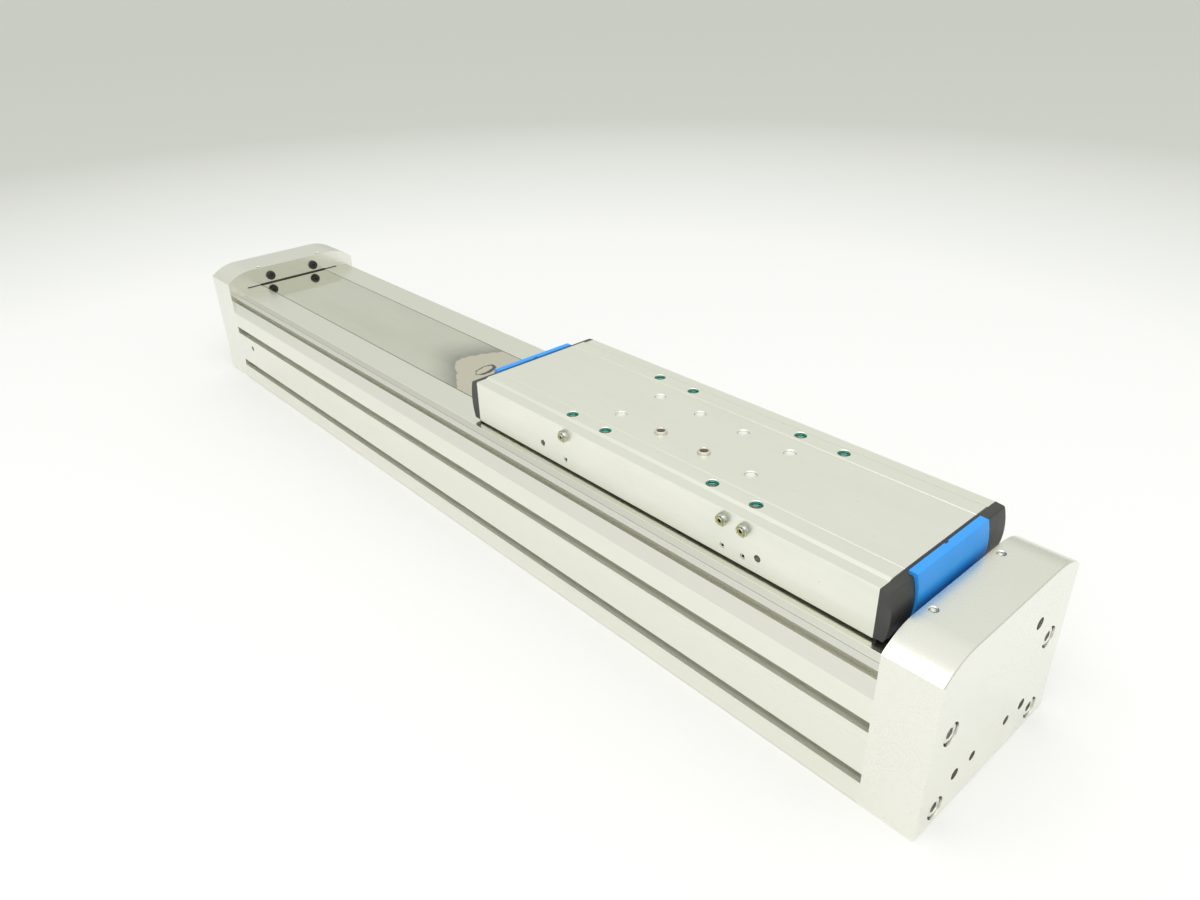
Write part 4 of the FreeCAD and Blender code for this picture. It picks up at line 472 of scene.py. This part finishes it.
for material, names in finishes:
    for name in names:
        cadNodes[name].data.materials.clear()
        cadNodes[name].data.materials.append(material)


# mesh helpers, with shapes standing on the origin along Z
weld = 1e-4  # points of a turned shape that are closer become one


def placed(point, way):
    turn = Vector(way).to_track_quat("Z", "Y").to_matrix().to_4x4()
    return Matrix.Translation(Vector(point) * mm) @ turn @ Matrix.Scale(mm, 4)


def onlyVerts(items):
    return [item for item in items if isinstance(item, bmesh.types.BMVert)]


def onlyEdges(items):
    return [item for item in items if isinstance(item, bmesh.types.BMEdge)]


def stackRings(bm, rings, closeEnd=True):  # a ring is its radius, height and number of sides
    loops = []
    for radius, height, sides in rings:
        raised = Matrix.Translation((0, 0, height))
        made = bmesh.ops.create_circle(bm, segments=sides, radius=radius, matrix=raised)
        loops.append(list({edge for vert in made["verts"] for edge in vert.link_edges}))
    for lower, upper in zip(loops, loops[1:]):
        bmesh.ops.bridge_loops(bm, edges=lower + upper)
    if closeEnd:
        bmesh.ops.edgeloop_fill(bm, edges=loops[-1])


def drawOutline(bm, outline):  # an outline's points are radius and height
    verts = [bm.verts.new((radius, 0, height)) for radius, height in outline]
    return verts + [bm.edges.new(pair) for pair in zip(verts, verts[1:])]


def turnOutline(bm, outline, steps=48):
    bmesh.ops.spin(bm, geom=drawOutline(bm, outline), cent=(0, 0, 0), axis=(0, 0, 1), angle=math.tau,
                   steps=steps, use_merge=True)
    bmesh.ops.remove_doubles(bm, verts=bm.verts, dist=weld)


def turnHelix(bm, outline, turns, rise, steps=24):
    bmesh.ops.spin(bm, geom=drawOutline(bm, outline), cent=(0, 0, 0), axis=(0, 0, 1),
                   dvec=(0, 0, rise / steps), angle=math.tau * turns, steps=round(steps * turns))


def copyTo(bm, places):
    seed = bm.verts[:] + bm.edges[:] + bm.faces[:]
    for place in places:
        copied = bmesh.ops.duplicate(bm, geom=seed)["geom"]
        bmesh.ops.transform(bm, matrix=place, verts=onlyVerts(copied))
    bmesh.ops.delete(bm, geom=onlyVerts(seed), context="VERTS")


def useSecond(bm, test):  # faces that pass the test get the piece's second material
    for face in bm.faces:
        center = face.calc_center_median()
        face.material_index = int(test(center.xy.length, center.z))


def addPiece(name, bm, materials, body, node, sharp=32):
    bmesh.ops.recalc_face_normals(bm, faces=bm.faces)
    mesh = bpy.data.meshes.new(name)
    bm.to_mesh(mesh)
    bm.free()
    mesh.polygons.foreach_set("use_smooth", [True] * len(mesh.polygons))
    mesh.set_sharp_from_angle(angle=math.radians(sharp))
    for material in materials:
        mesh.materials.append(material)
    piece = bpy.data.objects.new(name, mesh)
    scene.collection.objects.link(piece)
    if body:
        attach(piece, body)
    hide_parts(node)
    return piece


def bothSides(x, y, heights):
    return [(x, side * y, height) for side in (-1, 1) for height in heights]


def cadBox(name):
    low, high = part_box(name)
    return low / mm, high / mm


# places that the pieces share, from the CAD boxes
bodyEnd, ledge = cadBox("profile")[1].x, cadBox("profile")[1].z
idleFace, driveFace = cadBox("idle_end_cap")[1].x, cadBox("drive_end_cap")[0].x
plateTop = cadBox("strip_clamp_plates")[1].z
slideLow, slideHigh = cadBox("slide_body")
slideMid, slideTop, slideSide = (slideLow.x + slideHigh.x) / 2, slideHigh.z, slideHigh.y
screwLow, screwHigh = cadBox("ball_screw")
screwAxis = (screwLow.z + screwHigh.z) / 2

print("stage: socket screws")
keySocket = {"sides": 64, "edge": 0.25, "tip": 0.4, "cone": 0.35}  # cone is a share of the key's width


def socketRings(size):
    radius, top, edge, sides = size["radius"], size["height"], size["edge"], keySocket["sides"]
    corner, bottom = size["hex"] / math.sqrt(3), top - size["socket"]
    return [(radius, 0, sides), (radius, top - edge, sides), (radius - edge, top, sides),
            (corner + keySocket["edge"], top, 6), (corner, top - keySocket["edge"], 6), (corner, bottom, 6),
            (keySocket["tip"], bottom - keySocket["cone"] * size["hex"], 6)]


capScrew = {"radius": 8.0, "height": 10.0, "edge": 0.7, "hex": 8.0, "socket": 5.0, "sink": 11,
            "across": 68.5, "up": (13.5, 83.5)}
capScrewBm = bmesh.new()
stackRings(capScrewBm, socketRings(capScrew))
capSeats = [(idleFace - capScrew["sink"], 1), (driveFace + capScrew["sink"], -1)]
copyTo(capScrewBm, [placed(point, (way, 0, 0)) for seat, way in capSeats
                    for point in bothSides(seat, capScrew["across"], capScrew["up"])])
addPiece("capScrews", capScrewBm, [zincMetal], "base", "end_cap_screws")

clampScrew = {"radius": 3.0, "height": 19.5, "edge": 0.4, "hex": 3.0, "socket": 3.0, "past": 6.5,
              "across": 45}
clampScrewBm = bmesh.new()
stackRings(clampScrewBm, socketRings(clampScrew))
clampAlong = bodyEnd + clampScrew["past"]
copyTo(clampScrewBm, [placed(point, (0, 0, 1)) for end in (-1, 1)
                      for point in bothSides(end * clampAlong, clampScrew["across"], [plateTop])])
addPiece("clampScrews", clampScrewBm, [zincMetal], "base", "strip_clamp_screws")

retainerScrew = {"radius": 4.0, "height": 3.0, "edge": 0.3, "hex": 3.0, "socket": 1.8, "sink": 11.5,
                 "reach": 40, "count": 6}
retainerScrewBm = bmesh.new()
stackRings(retainerScrewBm, socketRings(retainerScrew))
retainerTurns = [math.tau * (step + 0.5) / retainerScrew["count"] for step in range(retainerScrew["count"])]
copyTo(retainerScrewBm, [placed((driveFace + retainerScrew["sink"], retainerScrew["reach"] * math.cos(turn),
                                 screwAxis + retainerScrew["reach"] * math.sin(turn)), (-1, 0, 0))
                         for turn in retainerTurns])
addPiece("retainerScrews", retainerScrewBm, [darkMetal], "base", "bearing_retainer_screws")

print("stage: buffers, plugs and inserts")
stopBuffer = {"across": 32, "rise": 10,
              "outline": [(0, 1.6), (1.3, 1.65), (1.8, 3.1), (2.2, 3.5), (4.6, 3.6), (5.4, 3.4),
                          (5.85, 2.9), (6, 2.3), (6, 0)]}
bufferBm = bmesh.new()
turnOutline(bufferBm, stopBuffer["outline"])
bufferHeight = ledge + stopBuffer["rise"]
copyTo(bufferBm, [placed(point, (-end, 0, 0)) for end in (-1, 1)
                  for point in bothSides(end * bodyEnd, stopBuffer["across"], [bufferHeight])])
addPiece("stopBuffers", bufferBm, [blackRubber], "base", "stop_buffers")

# the inner grid is four by two, and its near middle holes hold the sleeves
grid = {"pitch": 49, "steps": (-1.5, -0.5, 0.5, 1.5), "sleeveSteps": (-0.5, 0.5), "sleeveSide": -1}


def gridPlace(step, side, height):
    return placed((slideMid + step * grid["pitch"], side * grid["pitch"] / 2, height), (0, 0, 1))


plug = {"drop": 1.1, "outline": [(0, -1.5), (1.5, -1.42), (2.8, -1.05), (3.8, -0.45), (4.3, -0.1),
                                 (4.7, 0), (5.0, -0.1), (5.18, -0.4), (5.18, -5.9)]}
plugBm = bmesh.new()
turnOutline(plugBm, plug["outline"])
copyTo(plugBm, [gridPlace(step, side, slideTop - plug["drop"]) for step in grid["steps"] for side in (-1, 1)
                if side != grid["sleeveSide"] or step not in grid["sleeveSteps"]])
addPiece("holePlugs", plugBm, [plugMetal], "slide", "hole_plugs")

sleeve = {"rise": 2.5, "bore": 3.7,
          "outline": [(3.65, -9.5), (3.65, -0.55), (4.1, -0.05), (4.3, 0), (4.6, 0), (4.85, -0.08),
                      (5.1, -0.3), (5.2, -0.6), (5.2, -9.5)]}
sleeveBm = bmesh.new()
turnOutline(sleeveBm, sleeve["outline"])
useSecond(sleeveBm, lambda reach, height: reach < sleeve["bore"])
copyTo(sleeveBm, [gridPlace(step, grid["sleeveSide"], slideTop + sleeve["rise"])
                  for step in grid["sleeveSteps"]])
addPiece("centringSleeves", sleeveBm, [sleeveMetal, sleeveBore], "slide", "centring_sleeves")

insert = {"drop": 1.7, "row": 55, "steps": (-104, -61, 61, 104), "rim": 1.7, "bore": 4.8,
          "collar": [(4.78, -14.9), (4.78, -1.8), (4.78, -0.25), (4.95, 0), (5.1, 0), (5.2, -0.15),
                     (5.2, -15.1), (4.78, -14.9)],
          "thread": [(4.76, -0.3), (4.2, -0.8), (4.2, -1.02), (4.76, -1.52)], "pitch": 1.25, "turns": 10.5}
insertBm = bmesh.new()
turnOutline(insertBm, insert["collar"])
turnHelix(insertBm, insert["thread"], insert["turns"], -insert["pitch"])
# faces deeper than the rim get the darker thread steel, partly painted shade of the bore
useSecond(insertBm, lambda reach, height: reach < insert["bore"] and height < -insert["rim"])
copyTo(insertBm, [placed((slideMid + step, side * insert["row"], slideTop - insert["drop"]), (0, 0, 1))
                  for step in insert["steps"] for side in (-1, 1)])
addPiece("threadInserts", insertBm, [greenCoat, shadedThreadSteel], "slide", "thread_inserts")

print("stage: side fittings")
stations = (-92, 90, 110)  # along the slide from its middle
sidePlaces = [(slideMid + station, side) for station in stations for side in (-1, 1)]
nipple = {"drop": 9.7, "hex": 9.4, "flat": 3.5, "top": 4.2, "shoulder": 0.97, "throat": 3.2, "sides": 36,
          "neck": [(3.3, 4.0), (3.3, 5.2), (3.1, 5.6), (2.75, 5.6), (2.45, 5.3), (1.4, 4.1), (0.55, 3.9),
                   (0.5, 3.0), (0, 3.0)], "capReach": 2.5, "capFoot": 2.8}
nippleBm = bmesh.new()
nippleCorner = nipple["hex"] / math.sqrt(3)
stackRings(nippleBm, [(nippleCorner, 0, 6), (nippleCorner, nipple["flat"], 6),
                      (nipple["hex"] / 2 * nipple["shoulder"], nipple["top"], nipple["sides"]),
                      (nipple["throat"], nipple["top"], nipple["sides"])], closeEnd=False)
turnOutline(nippleBm, nipple["neck"], nipple["sides"])
useSecond(nippleBm, lambda reach, height: reach < nipple["capReach"] and height > nipple["capFoot"])
nippleBm.transform(Matrix.Rotation(math.radians(90), 4, "Z"))
copyTo(nippleBm, [placed((along, side * slideSide, slideTop - nipple["drop"]), (0, side, 0))
                  for along, side in sidePlaces])
addPiece("lubeNipples", nippleBm, [nippleMetal, yellowCap], "slide", "lube_nipples")

portPlug = {"drop": 33.7, "recess": 0.6,
            "rings": [(2.3, -2.4, 32), (2.3, -0.4, 32), (2.0, 0, 32), (1.45, 0, 6), (1.3, -0.15, 6),
                      (1.3, -1.2, 6)]}
portPlugBm = bmesh.new()
stackRings(portPlugBm, portPlug["rings"])
portSide, portHeight = slideSide - portPlug["recess"], slideTop - portPlug["drop"]
copyTo(portPlugBm, [placed((along, side * portSide, portHeight), (0, side, 0))
                    for along, side in sidePlaces])
addPiece("portPlugs", portPlugBm, [zincMetal], "slide", "lube_port_plugs")

print("stage: screw and cover strip")
# the track is half a lead of one start, and the ends are given along the screw's axis
rod = {"lead": 40, "starts": 2, "endGap": 6, "steps": 48, "merge": 1e-3,
       "track": [(20, 0), (20, 6.2), (19.75, 6.6), (18.4, 7.5), (17.2, 9.0), (16.9, 10), (17.2, 11.0),
                 (18.4, 12.5), (19.75, 13.4), (20, 13.8), (20, 20)],
       "drive": [(0, -605), (1.2, -606), (1.9, -608), (10.2, -608), (11, -607.2), (11, -568), (13, -568),
                 (13, -561), (15, -561), (15, -526), (19, -526), (19, -506), (16, -506)],
       "idle": [(16, 506), (17, 506), (17, 515), (15, 515), (15, 532.4), (14.6, 532.8), (0, 532.8)]}
threadEnd = bodyEnd - rod["endGap"]
firstTrack = [(radius, height - threadEnd) for radius, height in rod["track"]]
rodBm = bmesh.new()
turnHelix(rodBm, firstTrack, 1, rod["lead"], rod["steps"])
copyTo(rodBm, [Matrix.Rotation(math.tau * start / rod["starts"], 4, "Z") for start in range(rod["starts"])])
wholeLeads = int((2 * threadEnd - rod["lead"] / rod["starts"]) / rod["lead"])
copyTo(rodBm, [Matrix.Translation((0, 0, turn * rod["lead"])) for turn in range(wholeLeads)])
bmesh.ops.remove_doubles(rodBm, verts=rodBm.verts, dist=rod["merge"])
turnOutline(rodBm, rod["drive"])
turnOutline(rodBm, rod["idle"])
rodBm.transform(placed((0, 0, screwAxis), (1, 0, 0)))
addPiece("screwRod", rodBm, [groundMetal], "screw", "ball_screw")

stripHigh = cadBox("cover_strip")[1]
strip = {"end": stripHigh.x, "half": stripHigh.y, "level": ledge, "lift": stripHigh.z - ledge, "thick": 0.4,
         "reach": 218, "crown": 140, "steps": 14, "sharp": 50}


def buildStrip(name, side):  # from the clamp to the slide's middle, up the ramp by two equal bends
    bm = bmesh.new()
    level, lift, ramp = strip["level"], strip["lift"], strip["reach"] - strip["crown"]
    foot, crown = slideMid + side * strip["reach"], slideMid + side * strip["crown"]
    radius = (ramp ** 2 + lift ** 2) / (4 * lift)
    turn = side * math.asin(ramp / 2 / radius)
    half = strip["half"]
    corners = [bm.verts.new((side * strip["end"], across, level)) for across in (-half, half)]
    rim = [bm.edges.new(corners)]

    def runTo(x):
        made = bmesh.ops.extrude_edge_only(bm, edges=rim)["geom"]
        for vert in onlyVerts(made):
            vert.co.x = x
        rim[:] = onlyEdges(made)

    def bend(center, angle):
        made = bmesh.ops.spin(bm, geom=rim + list(rim[0].verts), cent=center, axis=(0, 1, 0), angle=angle,
                              steps=strip["steps"])["geom_last"]
        rim[:] = onlyEdges(made)

    runTo(foot)
    bend((foot, 0, level + radius), turn)
    bend((crown, 0, level + lift - radius), -turn)
    runTo(slideMid)
    bmesh.ops.recalc_face_normals(bm, faces=bm.faces)
    if bm.faces[:][0].normal.z < 0:
        bmesh.ops.reverse_faces(bm, faces=bm.faces)
    bmesh.ops.solidify(bm, geom=bm.faces[:], thickness=strip["thick"])
    bm.transform(Matrix.Scale(mm, 4))
    piece = addPiece(name, bm, [stripSteel], None, "cover_strip", strip["sharp"])
    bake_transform(piece)


buildStrip("coverStripFar", -1)
buildStrip("coverStripNear", 1)

print("stage: camera and light")
cameraLook = {"place": (0.7301, -0.5167, 0.5395), "turn": (60.854, 1.4535, 47.908), "lens": 27.55,
              "sensor": 36, "clip": (0.01, 200)}
camera = bpy.data.objects.new("camera", bpy.data.cameras.new("camera"))
camera.location = cameraLook["place"]
camera.rotation_euler = [math.radians(angle) for angle in cameraLook["turn"]]
camera.data.lens = cameraLook["lens"]
camera.data.sensor_width = cameraLook["sensor"]
camera.data.clip_start, camera.data.clip_end = cameraLook["clip"]
scene.collection.objects.link(camera)
scene.camera = camera
scene.view_settings.view_transform = "Standard"


def addSoftbox(name, look):
    lamp = bpy.data.lights.new(name, "AREA")
    lamp.shape = "RECTANGLE"
    lamp.size, lamp.size_y = look["size"]
    lamp.energy = look["power"]
    box = bpy.data.objects.new(name, lamp)
    box.location = look["place"]
    facing = Vector(look["aim"]) - Vector(look["place"])
    box.rotation_euler = facing.to_track_quat("-Z", "Y").to_euler()
    scene.collection.objects.link(box)


keyLight = {"place": (-0.25, -0.87, 2.05), "aim": (0.53, -0.09, 0.14), "size": (0.5, 0.45), "power": 1.4}
frontLight = {"place": (1.4, -1.2, 2.85), "aim": (0.3, 0, 0.1), "size": (3.6, 2.8), "power": 33}
addSoftbox("keyLight", keyLight)
addSoftbox("frontLight", frontLight)

roomLook = [(0.0, (0.59, 0.605, 0.55, 1)), (0.85, (0.93, 0.945, 0.90, 1))]  # from the horizon upwards
room = bpy.data.worlds.new("softRoom")
room.use_nodes = True
scene.world = room
roomTree = room.node_tree
direction = addNode(roomTree, "ShaderNodeTexCoord")
upward = addNode(roomTree, "ShaderNodeSeparateXYZ")
sky = addNode(roomTree, "ShaderNodeValToRGB")
for stop, (position, color) in zip(sky.color_ramp.elements, roomLook):
    stop.position = position
    stop.color = color
joinAll(roomTree, [
    (direction.outputs["Generated"], upward.inputs[0]), (upward.outputs["Z"], sky.inputs["Fac"]),
    (sky.outputs["Color"], roomTree.nodes["Background"].inputs["Color"])])

# painted shade: the floor is painted darker further from the object, standing in for light falling off
floorLook = {"near": (0.96, 0.955, 0.97), "far": (0.66, 0.67, 0.64), "from": 1.0, "to": 2.4, "rough": 0.7,
             "half": 40}
floorMesh = bpy.data.meshes.new("floor")
floorBm = bmesh.new()
bmesh.ops.create_grid(floorBm, x_segments=1, y_segments=1, size=floorLook["half"])
floorBm.to_mesh(floorMesh)
floorBm.free()
floor = bpy.data.objects.new("floor", floorMesh)
floorMaterial, floorTree, floorShader = newMaterial("paleFloor", floorLook["near"], floorLook["rough"])
floorPlace = addNode(floorTree, "ShaderNodeTexCoord")
floorFar = addNode(floorTree, "ShaderNodeVectorMath", operation="LENGTH")
floorTree.links.new(floorPlace.outputs["Object"], floorFar.inputs[0])
# painted shade rising with the distance from the object
floorFalloffShade = spanOf(floorTree, floorFar.outputs["Value"], floorLook["from"], floorLook["to"])
floorColor = mixColor(floorTree, floorFalloffShade, floorLook["near"], floorLook["far"])
floorTree.links.new(floorColor, floorShader.inputs["Base Color"])
floorMesh.materials.append(floorMaterial)
scene.collection.objects.link(floor)
